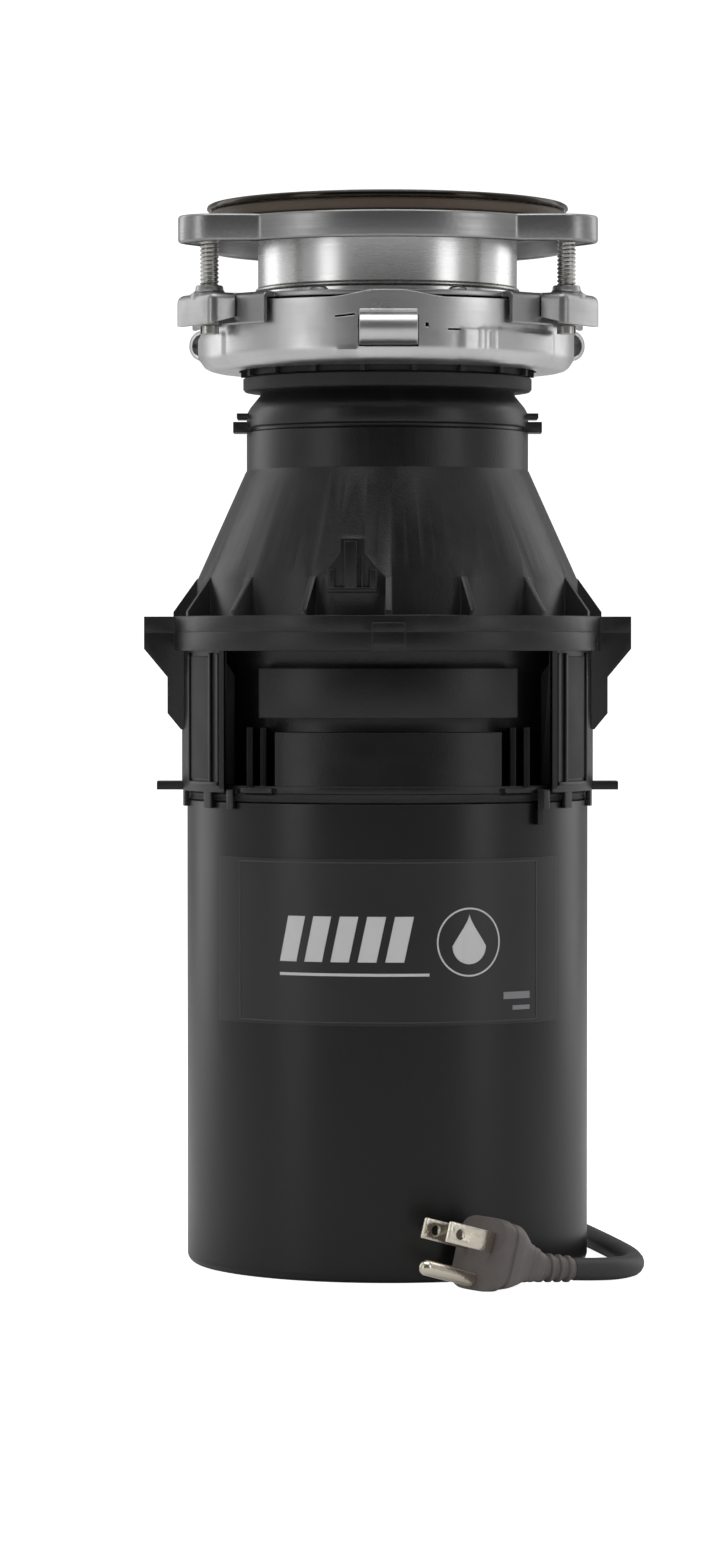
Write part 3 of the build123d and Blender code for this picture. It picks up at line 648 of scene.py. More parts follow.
@dataclass
class Studio:
    """Camera, floor, backdrop and lights.

    Attributes:
        focal: Focal length in image heights.
        distance: Camera distance from the motor axis, in metres.
        eye: Camera height, in metres.
        aside: How far the camera stands left of the axis, in metres.
        horizon: Height of the eye level above the picture's middle, in image heights.
    """

    focal: float = 3.230128
    distance: float = 1.6
    eye: float = 0.193
    aside: float = 0.0087
    horizon: float = 0.08141

    def build(self) -> None:
        """Set up the whole studio."""
        self.camera()
        self.backdrop()
        self.lights()
        self.world()
        bpy.context.scene.view_settings.view_transform = "Standard"

    def camera(self) -> None:
        """Stand the camera before the label at eye level, pitched slightly down."""
        lens = bpy.data.cameras.new("camera")
        lens.sensor_width = SENSOR_WIDTH
        lens.lens = self.focal * SENSOR_WIDTH
        lens.clip_start = 0.05
        lens.clip_end = 50.0
        camera = link(bpy.data.objects.new("camera", lens))
        camera.location = (-self.aside, -self.distance, self.eye)
        camera.rotation_euler = (math.pi / 2 - math.atan(self.horizon / self.focal), 0, 0)
        bpy.context.scene.camera = camera

    def backdrop(self) -> None:
        """Pale floor that curves up behind the object."""
        sheet = bmesh.new()
        reach, back, bend = 6.0, 3.0, 1.0
        bottom = [sheet.verts.new((-reach, -reach, 0)), sheet.verts.new((reach, -reach, 0))]
        edge = sheet.edges.new(bottom)
        moved = bmesh.ops.extrude_edge_only(sheet, edges=[edge])["geom"]
        verts = verts_of(moved)
        bmesh.ops.translate(sheet, verts=verts, vec=(0, reach + back, 0))
        front = edges_of(moved)
        bmesh.ops.spin(sheet, geom=verts + front, cent=(0, back, bend), axis=(1, 0, 0), dvec=(0, 0, 0),
                       angle=math.pi / 2, steps=24, use_merge=False)
        top = [vert for vert in sheet.verts if vert.co.z > bend - 0.001]
        top_edges = [line for line in sheet.edges if all(vert in top for vert in line.verts)]
        moved = bmesh.ops.extrude_edge_only(sheet, edges=top_edges)["geom"]
        bmesh.ops.translate(sheet, verts=verts_of(moved), vec=(0, 0, 4.0))
        for face in sheet.faces:
            face.smooth = True
        mesh = bpy.data.meshes.new("backdrop")
        sheet.to_mesh(mesh)
        sheet.free()
        floor = link(bpy.data.objects.new("backdrop", mesh))
        mesh.materials.append(self.paper())

    def paper(self) -> bpy.types.Material:
        """Seamless white paper that looks evenly white and lights the piece only softly."""
        material = bpy.data.materials.new("backdrop_paper")
        material.use_nodes = True
        canvas = Canvas(material.node_tree)
        shader = canvas.add("BsdfPrincipled", Base_Color=(0.8, 0.8, 0.8, 1), Roughness=0.95)
        shader.inputs["Specular IOR Level"].default_value = 0.0
        shader.inputs["Emission Color"].default_value = (1, 1, 1, 1)
        seen = canvas.add("LightPath").outputs["Is Camera Ray"]
        grain = canvas.add("Group", node_tree=grain_group())
        canvas.join(canvas.add("TexCoord").outputs["Object"], grain.inputs["Vector"])
        canvas.join(canvas.maths("MULTIPLY_ADD", seen, 0.9, 0.06), shader.inputs["Emission Strength"])
        bump = canvas.add("Bump", Strength=0.05, Distance=0.0001)
        canvas.join(grain.outputs["Fine"], bump.inputs["Height"])
        canvas.join(bump.outputs[0], shader.inputs["Normal"])
        canvas.join(shader.outputs[0], canvas.add("OutputMaterial").inputs["Surface"])
        return material

    def lights(self) -> None:
        """Two tall front boxes, two back strips and a top box."""
        boxes = (
            ("box_left", (-1.35, -1.0, 0.45), (0.5, 1.6), 3.8),
            ("box_right", (1.35, -1.0, 0.45), (0.5, 1.6), 3.8),
            ("strip_left", (-1.1, 0.8, 0.45), (0.6, 1.6), 3.6),
            ("strip_right", (1.1, 0.8, 0.45), (0.6, 1.6), 3.6),
            ("box_top", (0.0, -0.2, 1.7), (1.4, 1.2), 10.0),
        )
        for name, place, (width, height), power in boxes:
            lamp = bpy.data.lights.new(name, "AREA")
            lamp.shape = "RECTANGLE"
            lamp.size = width
            lamp.size_y = height
            lamp.energy = power
            light = link(bpy.data.objects.new(name, lamp))
            light.location = place
            aim = LAMP_AIM - Vector(place)
            light.rotation_euler = aim.to_track_quat("-Z", "Y").to_euler()

    def world(self) -> None:
        """White surround for the camera, and for the piece a room that is bright behind and dark in front."""
        world = bpy.data.worlds.new("studio")
        bpy.context.scene.world = world
        world.use_nodes = True
        canvas = Canvas(world.node_tree)
        glow = canvas.add("Background", Strength=1.0)
        parts = canvas.add("SeparateXYZ")
        canvas.join(canvas.add("TexCoord").outputs["Generated"], parts.inputs[0])
        rear = canvas.ramp(parts.outputs["Y"], -0.6, 0.5)
        tone = canvas.add("MixRGB", Color1=(0.1, 0.1, 0.1, 1), Color2=(0.85, 0.85, 0.85, 1))
        canvas.join(rear, tone.inputs["Fac"])
        seen = canvas.add("MixRGB", Color2=(1.0, 1.0, 1.0, 1))
        canvas.join(canvas.add("LightPath").outputs["Is Camera Ray"], seen.inputs["Fac"])
        canvas.join(tone.outputs[0], seen.inputs["Color1"])
        canvas.join(seen.outputs[0], glow.inputs["Color"])
        canvas.join(glow.outputs[0], canvas.add("OutputWorld").inputs["Surface"])


# ---------------------------------------------------------------- cord


@dataclass
class CordSet:
    """The fitted mains lead: from the gland at the back, wound once put away, to the plug in front.

    Attributes:
        thick: Cord diameter, in metres.
        length: Real length, in metres. Not used.
        lead: Route from the gland to the coil, in millimetres.
        run: Route from the coil round the right side to the plug, in millimetres.
        coil_centre: Middle of the coil.
        coil_radius: Radius at the middle of the turns.
        turns: Turns in the coil.
        points_per_turn: Control points in each turn.
        gland_angle: Angle of the cord's gland round the can, in degrees.
        plug_face: Middle of the plug's face.
        plug_axis: Direction from the face out along the blades.
        plug_side: Direction across the plug.
        plug_length: Depth of the moulded body behind the face.
        plug_sections: Depth, width, height and lift of each cross-section of the body.
    """

    thick: float = 0.007
    length: float = 0.914
    lead: tuple[tuple[float, float, float], ...] = (
        (-36, 89, 12), (-41, 103, 11), (-43, 127, 5.8), (-42.7, 149, 3.5),
    )
    run: tuple[tuple[float, float, float], ...] = (
        (41, 149, 9.6), (45.5, 120, 7), (54.5, 84, 3.6), (63.5, 44, 3.5), (71, 6, 3.5), (75.5, -20, 3.5),
        (76.8, -39.9, 3.5), (73.1, -49.2, 3.5), (65.9, -56.1, 3.7), (56.5, -59.5, 4.2),
    )
    coil_centre: tuple[float, float] = (0.9, 149.0)
    coil_radius: float = 40.1
    turns: float = 2.5
    points_per_turn: int = 16
    gland_angle: float = 112.0
    plug_face: tuple[float, float, float] = (27.0, -77.5, 11.5)
    plug_axis: tuple[float, float, float] = (-0.79, -0.553, 0.265)
    plug_side: tuple[float, float, float] = (0.573, -0.819, 0.0)
    plug_length: float = 23.0
    plug_sections: tuple[tuple[float, float, float, float], ...] = (
        (0.0, 22.4, 21.2, -0.2), (0.25, 23.4, 22.2, -0.2), (0.9, 23.9, 22.7, -0.15), (3.4, 23.8, 22.2, 0.1),
        (4.0, 22.5, 20.6, 0.2), (5.0, 22.3, 20.2, 0.35), (5.6, 23.2, 20.8, 0.4), (8.0, 22.9, 19.9, 0.75),
        (10.0, 20.9, 18.2, 0.7), (13.0, 16.9, 15.2, 0.5), (15.0, 14.0, 13.0, 0.4), (16.2, 12.9, 12.1, 0.35),
        (17.0, 12.9, 12.1, 0.35), (17.6, 11.9, 11.2, 0.3), (19.0, 11.6, 10.9, 0.3), (19.6, 11.6, 10.9, 0.3),
        (20.2, 10.5, 9.9, 0.2), (22.6, 9.5, 9.1, 0.1),
    )

    def coil_points(self) -> list[tuple[float, float, float]]:
        """Points of the wound turns, clockwise from the left: an outer, an inner and half an upper turn."""
        half = self.thick / MM / 2
        steps = int(self.turns * self.points_per_turn)
        points = []
        for step in range(1, steps):
            turn = step / self.points_per_turn
            angle = math.pi - FULL_TURN * turn
            inward = min(max((turn - 0.8) / 0.4, 0), 1)
            upward = min(max((turn - 1.8) / 0.4, 0), 1)
            radius = self.coil_radius + half - 2 * half * inward + half * upward
            height = half + upward * (half * math.sqrt(3) + 0.1)
            points.append((self.coil_centre[0] + radius * math.cos(angle),
                           self.coil_centre[1] + radius * math.sin(angle), height))
        return points

    def build(self) -> None:
        curve = bpy.data.curves.new("power_cord", "CURVE")
        curve.dimensions = "3D"
        curve.bevel_depth = self.thick / 2
        curve.bevel_resolution = 6
        curve.resolution_u = 8
        curve.use_fill_caps = True
        spline = curve.splines.new("NURBS")
        route = [*self.lead, *self.coil_points(), *self.run]
        spline.points.add(len(route) - 1)
        for point, place in zip(spline.points, route):
            point.co = (*(Vector(place) * MM), 1.0)
        spline.order_u = 3
        spline.use_endpoint_u = True
        cord = link(bpy.data.objects.new("power_cord", curve))
        curve.materials.append(SHEATH.material())
        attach(cord, "housing")
        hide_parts("cord_lead", "cord_coil", "cord_run")
        nodes = FRAME["nodes"]
        pieces = [self.strain_relief(), self.plug(), self.blades(), nodes["plug_ground_pin"]]
        LOG.info("power_cord: %d points", len(route))

    def strain_relief(self) -> bpy.types.Object:
        """Tapered rubber sleeve with bending grooves, on the gland behind the can."""
        sleeve = Blank("tapered_strain_relief")
        bore, start, tip = 3.3, 69.0, 95.9
        outer = [(4.8, 57.0), (4.8, 63.6), (8.2, 63.7), (8.5, 64.0), (8.5, 66.1), (8.2, 66.5), (6.9, 66.8),
                 (6.6, 67.4)]
        grooves = 8
        pitch = (tip - start) / grooves
        for groove in range(grooves):
            low = start + groove * pitch
            radius = 6.5 - 2.2 * (low - start) / (tip - start)
            outer += [(radius, low), (radius, low + 0.5 * pitch), (radius - 0.75, low + 0.6 * pitch),
                      (radius - 0.8, low + 0.9 * pitch)]
        outer += [(4.2, tip - 0.6), (3.9, tip), (bore, tip), (bore, 57.0)]
        sleeve.turn(outer, steps=48)
        sleeve.move(sleeve.mesh.verts, Matrix.Rotation(math.pi / 2, 4, "Y"))
        sleeve.move(sleeve.mesh.verts, spoke(self.gland_angle) @ Matrix.Translation((0, 0, self.lead[0][2])))
        return sleeve.dress(RUBBER, "housing", "rubber_black", "strain_relief")

    def plug_place(self) -> Matrix:
        """Placement of the plug: z out of its face towards the blades, x across it."""
        out = Vector(self.plug_axis).normalized()
        across = Vector(self.plug_side).normalized()
        across = (across - out * across.dot(out)).normalized()
        turn = Matrix((across, out.cross(across), out)).transposed().to_4x4()
        return Matrix.Translation(self.plug_face) @ turn

    def plug(self) -> bpy.types.Object:
        """Moulded plug: a square face, a finger grip and a ribbed tail that follows the cord."""
        plug = Blank("moulded_plug")
        place = self.plug_place()
        tail = place @ Vector((0, 0, -self.plug_length))
        end = Vector(self.run[-1])
        along = (end - tail).to_track_quat("-Z", "Y").to_matrix().to_4x4()
        rings = [self.section(plug, place @ Matrix.Translation((0, lift, -depth)),
                              width / 2, height / 2, 0.45)
                 for depth, width, height, lift in self.plug_sections]
        reach = (end - tail).length
        ribs = 4
        for rib in range(ribs):
            for share, swell in ((0.15, 0.0), (0.45, 0.0), (0.6, -0.7), (0.95, -0.7)):
                distance = reach * (rib + share) / ribs
                radius = 4.6 - 0.6 * distance / reach + swell
                spot = Matrix.Translation(tail + (end - tail).normalized() * distance) @ along
                rings.append(self.section(plug, spot, radius, radius, 1.0))
        for near, far in zip(rings, rings[1:]):
            bmesh.ops.bridge_loops(plug.mesh, edges=near + far)
        bmesh.ops.holes_fill(plug.mesh, edges=[edge for edge in plug.mesh.edges if edge.is_boundary], sides=0)
        return plug.dress(PLUG, "housing", "plug_grey", "plug_body")

    def section(self, plug: Blank, place: Matrix, half_width: float, half_height: float,
                squareness: float) -> list[bmesh.types.BMEdge]:
        """Add one cross-section of the plug.

        Args:
            plug: The plug's blank.
            place: Where the section lies.
            half_width: Half of its width.
            half_height: Half of its height.
            squareness: 1 for an ellipse, less for squarer corners.

        Returns:
            The section's edges.
        """
        verts = bmesh.ops.create_circle(plug.mesh, cap_ends=False, radius=1.0, segments=48)["verts"]
        for vert in verts:
            x, y = vert.co.x, vert.co.y
            vert.co.x = half_width * math.copysign(abs(x) ** squareness, x)
            vert.co.y = half_height * math.copysign(abs(y) ** squareness, y)
        plug.move(verts, place)
        return list({edge for vert in verts for edge in vert.link_edges})

    def blades(self) -> bpy.types.Object:
        """Two flat blades with rounded tips."""
        blades = copy_of("plug_blades", "nickel_blades")
        blades.soften(0.35, segments=3, sharper_than=60)
        return blades.dress(NICKEL, "housing", "nickel", "plug_blades", recalc=False)


# ---------------------------------------------------------------- motor


@dataclass
class MotorSection:
    """The motor can's label and its sealing ring.

    Attributes:
        label_radius: Radius of the label film's face.
        label_middle: Angle of the label's middle, in degrees.
        label_half: Half of the label's width, round the can.
        label_span: Lowest and highest point of the label.
        print_height: Thickness of the printed ink.
        stripes: Left ends of the slanted stripes.
        drop_middle: Middle of the drop emblem, along the label and upwards.
    """

    label_radius: float = 63.87
    label_middle: float = 270.0
    label_half: float = 52.0
    label_span: tuple[float, float] = (79.0, 130.0)
    print_height: float = 0.05
    stripes: tuple[float, ...] = (-35.0, -26.5, -18.0, -9.5, -1.0)
    drop_middle: tuple[float, float] = (25.5, 104.5)

    def build(self) -> None:
        """Print the label and seat the can's sealing ring."""
        self.border()
        self.artwork()
        self.small_print()
        self.top_seal()

    def top_seal(self) -> None:
        """Black sealing ring between the can's rim and the chamber's base."""
        seal = Blank("can_top_seal")
        seal.turn(((60.1, 146.85), (62.5, 146.85), (62.9, 147.3), (62.6, 148.2), (62.9, 149.1), (62.5, 149.7),
                   (60.1, 149.7)), steps=120)
        seal.dress(RUBBER, "housing", "rubber_black")

    def bar(self, art: Blank, left: float, right: float, low: float, high: float, slant: float = 0.0) -> None:
        """Add one printed bar.

        Args:
            art: The blank to print on.
            left: Left end along the girth.
            right: Right end along the girth.
            low: Lower edge.
            high: Upper edge.
            slant: How far the top leans to the right.
        """
        corners = ((left, low), (right, low), (right + slant, high), (left + slant, high))
        verts = art.press(corners, 0, self.print_height)
        art.move(verts, Matrix.Rotation(math.pi / 2, 4, "X"))

    def on_can(self, art: Blank) -> None:
        """Cut the flat print finely enough to bend, and wrap it on the label."""
        for place in range(-26, 27):
            bmesh.ops.bisect_plane(art.mesh, geom=art.mesh.verts[:] + art.mesh.edges[:] + art.mesh.faces[:],
                                   plane_co=(place * 2.0, 0, 0), plane_no=(1, 0, 0))
        wrap(art.mesh.verts, self.label_radius, self.label_middle)

    def border(self) -> None:
        """Thin pale line round the label."""
        line = Blank("label_border")
        low, high = self.label_span
        half = self.label_half
        inset, width = 0.9, 0.35
        self.bar(line, -half + inset, half - inset, low + inset, low + inset + width)
        self.bar(line, -half + inset, half - inset, high - inset - width, high - inset)
        for side in Side:
            edge = side.value * (half - inset)
            ends = sorted((edge, edge - side.value * width))
            self.bar(line, *ends, low + inset, high - inset)
        self.on_can(line)
        line.dress(FAINT_PRINT, "housing", "label_print")

    def artwork(self) -> None:
        """Slanted stripes, a drop in a ring and a thin rule under them."""
        art = Blank("label_artwork")
        for left in self.stripes:
            self.bar(art, left, left + 5.8, 98.5, 112.5, slant=3.0)
        self.bar(art, -35, 12.6, 94.2, 95.1)
        self.drop(art, 5.6, 1.0)
        self.ring(art, 10.6, 0.55)
        self.on_can(art)
        art.dress(PRINT, "housing", "label_print")

    def ring(self, art: Blank, radius: float, width: float) -> None:
        """Print a ring round the drop.

        Args:
            art: The blank to print on.
            radius: Outer radius.
            width: Line width.
        """
        verts = art.turn(((radius - width, 0), (radius, 0), (radius, self.print_height),
                          (radius - width, self.print_height)), steps=64)
        self.stand(art, verts)

    def drop(self, art: Blank, radius: float, point: float) -> None:
        """Print a water drop.

        Args:
            art: The blank to print on.
            radius: Radius of its round end.
            point: How sharply the top draws in.
        """
        before = set(art.mesh.verts)
        round_end = bmesh.ops.create_circle(art.mesh, cap_ends=True, radius=radius, segments=40)["verts"]
        for vert in round_end:
            lift = max(vert.co.y, 0) / radius
            vert.co.x *= 1 - lift ** point
            vert.co.y += lift * radius * 0.75
        raised = bmesh.ops.extrude_face_region(
            art.mesh, geom=[face for face in art.mesh.faces if all(vert in round_end for vert in face.verts)],
            use_keep_orig=True)["geom"]
        bmesh.ops.translate(art.mesh, verts=verts_of(raised), vec=(0, 0, self.print_height))
        verts = art.added(before)
        bmesh.ops.translate(art.mesh, verts=verts, vec=(0, -1.2, 0))
        self.stand(art, verts)

    def stand(self, art: Blank, verts: list[bmesh.types.BMVert]) -> None:
        """Stand flat emblem work upright at the emblem's middle."""
        along, height = self.drop_middle
        upright = Matrix.Translation((along, 0, height)) @ Matrix.Rotation(math.pi / 2, 4, "X")
        art.move(verts, upright)

    def small_print(self) -> None:
        """Two short grey bars in the lower right corner."""
        bars = Blank("label_small_print")
        self.bar(bars, 37.5, 48.0, 86.6, 88.8)
        self.bar(bars, 41.0, 48.0, 83.2, 84.6)
        self.on_can(bars)
        bars.dress(GREY_PRINT, "housing", "label_print")


# ---------------------------------------------------------------- mount


@dataclass
class SinkMount:
    """Three-bolt sink mount: the turning ring, the fixed ring with its ears, the screws and the flanges.

    Attributes:
        ears: Angles of the ears and screws, in degrees.
        loops: Frame node of each turning loop, and its angle.
        screws: Frame node of each screw, the body it rides on and its angle.
        screw_circle: Radius of the circle through the screws.
        wall: Sheet thickness of the rings.
        ring_steps: Facets round the turning ring.
        ring_low: Underside of the turning ring.
        ring_bend: Height where its wall turns straight.
        ring_top: Highest point of its waved edge.
        ear_half: Half of an ear's width.
        plate_top: Top of the fixed ring's plate.
    """

    ears: tuple[float, ...] = (-30.0, 90.0, 210.0)
    loops: tuple[tuple[str, float], ...] = (
        ("wrench_loop_front", 270.0), ("wrench_loop_right", 30.0), ("wrench_loop_left", 150.0),
    )
    screws: tuple[tuple[str, str, float], ...] = (
        ("mounting_screw_right", "screw_right", -30.0), ("mounting_screw_back", "screw_back", 90.0),
        ("mounting_screw_left", "screw_left", 210.0),
    )
    screw_circle: float = 64.0
    wall: float = 1.8
    ring_steps: int = 360
    ring_low: float = 282.0
    ring_bend: float = 286.6
    ring_top: float = 304.0
    ear_half: float = 12.0
    plate_top: float = 304.4

    def build(self) -> None:
        """Make every piece of the mount."""
        self.turning_ring()
        for name, angle in self.loops:
            self.turning_loop(name, angle)
        self.fixed_ring()
        for name, body, angle in self.screws:
            self.screw(name, body, angle)
        self.backup_flange()
        self.fibre_gasket()
        self.sink_flange()
        self.snap_ring()

    # the turning ring

    def turning_ring(self) -> None:
        """Stamped ring with a waved edge, bayonet windows, slits and pressed ribs."""
        ring = Blank("turning_ring")
        rows = 24
        lip = [(48, self.ring_low), (50.5, self.ring_low), (53.5, self.ring_low), (55.8, self.ring_low),
               (57.2, 282.4), (58.3, 283.2), (59.3, 284.6), (59.85, 285.7)]
        step = (self.ring_top - self.ring_bend) / rows
        wall = [(60, self.ring_bend + step * row) for row in range(rows + 1)]
        ring.turn(lip + wall, steps=self.ring_steps, closed=False)
        cut = [face for face in ring.mesh.faces if self.is_open(*self.on_ring(face.calc_center_median()))]
        bmesh.ops.delete(ring.mesh, geom=cut, context="FACES")
        for vert in ring.mesh.verts:
            along, height = self.on_ring(vert.co)
            if height > self.ring_bend:
                share = (height - self.ring_bend) / (self.ring_top - self.ring_bend)
                vert.co.z -= share * self.dip(along)
            radius = math.hypot(vert.co.x, vert.co.y)
            factor = 1 + self.pressing(along, height) / radius
            vert.co.x *= factor
            vert.co.y *= factor
        ring.thicken(self.wall - 0.5)
        ring.dress(STAMPED, "mount_ring", "stamped_steel", "lower_mounting_ring")

    def on_ring(self, place: Vector) -> tuple[float, float]:
        """Say where a point lies on its third of the ring.

        Args:
            place: A point on the ring.

        Returns:
            The distance along the girth from the middle of the third, and the height.
        """
        angle = math.degrees(math.atan2(place.y, place.x))
        third = (angle - 270.0 + 60.0) % 120.0 - 60.0
        return math.radians(third) * 60.0, place.z

    def is_open(self, along: float, height: float) -> bool:
        """Tell whether a face of the wall is cut away for a window or a slit."""
        window = abs(along) < 9.3 and 286.9 < height < 296.7
        left_slit = -17.2 < along < -10.4 and 296.6 < height < 297.4
        right_slit = 18.6 < along < 23.0 and 292.4 < height < 293.2
        eye = 11.6 < along < 12.8 and 293.0 < height < 294.4
        return window or left_slit or right_slit or eye

    def dip(self, along: float) -> float:
        """Say how far the waved edge sinks below its highest point."""
        return 2.1 * smooth_step(abs(along), 3.0, 19.0)

    def pressing(self, along: float, height: float) -> float:
        """Say how far the wall is pressed outwards at a point.

        Args:
            along: Distance along the girth from the middle of the third.
            height: Height on the ring.

        Returns:
            The outward offset, never above the ring's outer radius, so the plain wall is drawn in.
        """
        panel = smooth_step(along, 22.6, 23.8) * smooth_step(-height, -293.6, -292.8)
        ribs = max(1 - abs(along - centre) / 1.3 for centre in (30.6, 33.6, 36.2))
        ribs = max(ribs, 0.0) * smooth_step(-height, -294.6, -293.4) * smooth_step(height, 284.6, 286.0)
        bead = max(1 - abs(height - 285.6) / 1.1, 0.0) * smooth_step(-abs(along + 13.5), -4.5, -2.5)
        return -0.9 + 0.45 * panel + 0.45 * max(ribs, bead) if height > 283 else -0.9

    def turning_loop(self, name: str, angle: float) -> None:
        """Tongue of the ring rolled outwards into a loop for the turning bar.

        Args:
            name: The frame node it stands for.
            angle: Where it stands round the ring.
        """
        loop = Blank(name.replace("wrench", "turning"))
        centre, height, roll = 63.7, 291.8, 4.9
        curl = [(59.1, 298.2), (59.4, 297.1)]
        for step in range(25):
            turn = math.radians(132 - 12 * step)
            curl.append((centre + roll * math.cos(turn), height + roll * math.sin(turn)))
        strip = loop.wire([(radius, -8.9, level) for radius, level in curl], closed=False)
        drawn = bmesh.ops.extrude_edge_only(loop.mesh, edges=edges_of(strip))["geom"]
        bmesh.ops.translate(loop.mesh, verts=verts_of(drawn), vec=(0, 17.8, 0))
        loop.thicken(1.3)
        loop.soften(0.25, sharper_than=60)
        loop.move(loop.mesh.verts, spoke(angle))
        loop.dress(STAMPED, "mount_ring", "stamped_steel", name)

    # the fixed ring

    def fixed_ring(self) -> None:
        """Flat ring with three folded ears, a drawn collar in each and small pressed studs."""
        ring = Blank("fixed_ring")
        low, top = self.plate_top - self.wall, self.plate_top
        ring.turn(((41.6, low), (57, low), (57, top), (41.6, top)), steps=144)
        ring.soften(0.5)
        for angle in self.ears:
            self.ear(ring, angle)
            self.skirt(ring, angle)
            self.collar(ring, angle)
        for _, angle in self.loops:
            for side in Side:
                stud = bmesh.ops.create_uvsphere(ring.mesh, u_segments=20, v_segments=12, radius=2.3)["verts"]
                place = spoke(angle + side.value * 24.0) @ Matrix.Translation((52.5, 0, top - 0.2))
                ring.move(stud, place @ Matrix.Diagonal((1.0, 1.4, 0.8, 1.0)))
        ring.dress(FOLDED, "housing", "stamped_steel", "upper_mounting_ring")

    def ear(self, ring: Blank, angle: float) -> None:
        """Fold one ear down over the turning ring.

        Args:
            ring: The blank of the fixed ring.
            angle: Where the ear stands.
        """
        sheet = bmesh.new()
        half, top = self.ear_half, self.plate_top
        root, bend, end = 52.0, 61.4, 70.0
        corners = [(root, -half), (bend, -half), (end, -half), (end, half), (bend, half), (root, half)]
        verts = [sheet.verts.new((x, y, top)) for x, y in corners]
        sheet.faces.new(verts)
        rim = [edge for edge in sheet.edges if all(vert.co.x > bend - 0.1 for vert in edge.verts)]
        folded = verts_of(bmesh.ops.extrude_edge_only(sheet, edges=rim)["geom"])
        for vert in folded:
            vert.co.z -= 7.6 if vert.co.x < end - 0.1 else 9.8
        sheet.normal_update()
        folds = [edge for edge in sheet.edges if len(edge.link_faces) == 2 and edge.calc_face_angle(0) > 0.5]
        bmesh.ops.bevel(sheet, geom=folds, offset=2.6, offset_type="OFFSET", segments=5, profile=0.5,
                        affect="EDGES", clamp_overlap=True, material=-1)
        bmesh.ops.recalc_face_normals(sheet, faces=sheet.faces[:])
        if sum(face.normal.z for face in sheet.faces) < 0:
            bmesh.ops.reverse_faces(sheet, faces=sheet.faces[:])
        bmesh.ops.solidify(sheet, geom=sheet.faces[:], thickness=self.wall)
        bmesh.ops.transform(sheet, matrix=spoke(angle), verts=sheet.verts[:])
        held = bpy.data.meshes.new("ear")
        sheet.to_mesh(held)
        sheet.free()
        ring.mesh.from_mesh(held)
        bpy.data.meshes.remove(held)

    def skirt(self, ring: Blank, angle: float) -> None:
        """Turn down the plate's edge beside an ear, outside the turning ring.

        Args:
            ring: The blank of the fixed ring.
            angle: Where the ear stands.
        """
        low, top, radius, wall = 294.5, self.plate_top - 0.05, 62.15, 1.6
        shoulder = [(radius - 2.2 + 2.2 * math.sin(turn), top - 2.2 + 2.2 * math.cos(turn))
                    for turn in (math.radians(15 * step) for step in range(7))]
        section = [(55.5, top), *shoulder, (radius, low + 0.4), (radius - 0.4, low),
                   (radius - wall + 0.3, low), (radius - wall, low + 0.3), (radius - wall, top - 2.4),
                   (radius - 2.2, top - 1.8), (55.5, top - 1.8)]
        for start, sweep in ((4.5, 17.5), (-22.0, 17.5)):
            before = set(ring.mesh.verts)
            geom = ring.wire([(out, 0, height) for out, height in section])
            face = bmesh.ops.contextual_create(ring.mesh, geom=geom)["faces"]
            bmesh.ops.spin(ring.mesh, geom=geom + face, cent=(0, 0, 0), axis=(0, 0, 1), dvec=(0, 0, 0),
                           angle=math.radians(sweep), steps=14, use_merge=False, use_duplicate=False)
            ring.move(ring.added(before), spoke(angle + start))

    def collar(self, ring: Blank, angle: float) -> None:
        """Draw up the threaded collar round a screw."""
        top = self.plate_top
        outline = ((3.1, top - 1.8), (6.0, top - 1.8), (6.0, top - 0.1), (5.0, top + 0.4), (4.4, top + 1.2),
                   (4.3, top + 2.2), (4.0, top + 2.6), (3.1, top + 2.6))
        verts = ring.turn(outline, steps=40)
        ring.move(verts, spoke(angle) @ Matrix.Translation((self.screw_circle, 0, 0)))

    # screws and flanges

    def screw(self, name: str, body: str, angle: float) -> None:
        """Threaded mounting screw with a slotted end.

        Args:
            name: The frame node it stands for.
            body: The body it rides on.
            angle: Where it stands round the mount.
        """
        screw = Blank(name + "_threaded")
        low, high, pitch, steps = 292.0, 326.6, 1.27, 20
        core = ((0, low + 2.4), (2.55, low + 2.4), (2.55, high - 0.8), (1.9, high), (0, high))
        screw.turn(core, steps=32, closed=False)
        turns = int((high - low - 4.4) / pitch)
        ridge = screw.wire([(2.2, 0, low + 2.5), (2.5, 0, low + 2.5), (2.97, 0, low + 2.95),
                            (2.97, 0, low + 3.15), (2.5, 0, low + 3.6), (2.2, 0, low + 3.6)])
        bmesh.ops.spin(screw.mesh, geom=ridge, cent=(0, 0, 0), axis=(0, 0, 1), dvec=(0, 0, pitch / steps),
                       angle=FULL_TURN * turns, steps=steps * turns, use_merge=False, use_duplicate=False)
        open_ends = [edge for edge in screw.mesh.edges if edge.is_boundary]
        bmesh.ops.holes_fill(screw.mesh, edges=open_ends, sides=8)
        for side in Side:
            arc = [math.radians(12 + 12 * step) for step in range(14)]
            half = [(2.95 * math.cos(turn), side.value * 2.95 * math.sin(turn)) for turn in arc]
            screw.press(half, low, low + 2.6)
        screw.move(screw.mesh.verts, spoke(angle) @ Matrix.Translation((self.screw_circle, 0, 0)))
        screw.dress(ZINC, body, "plated_steel", name)

    def backup_flange(self) -> None:
        """Lobed pressing with a turned-down rim and rounded shoulders."""
        flange = copy_of("backup_flange", "lobed_backup_flange")
        flange.soften(1.5, segments=4, sharper_than=40)
        flange.dress(BRUSHED, "clamp", "stamped_steel", "backup_flange", recalc=False)

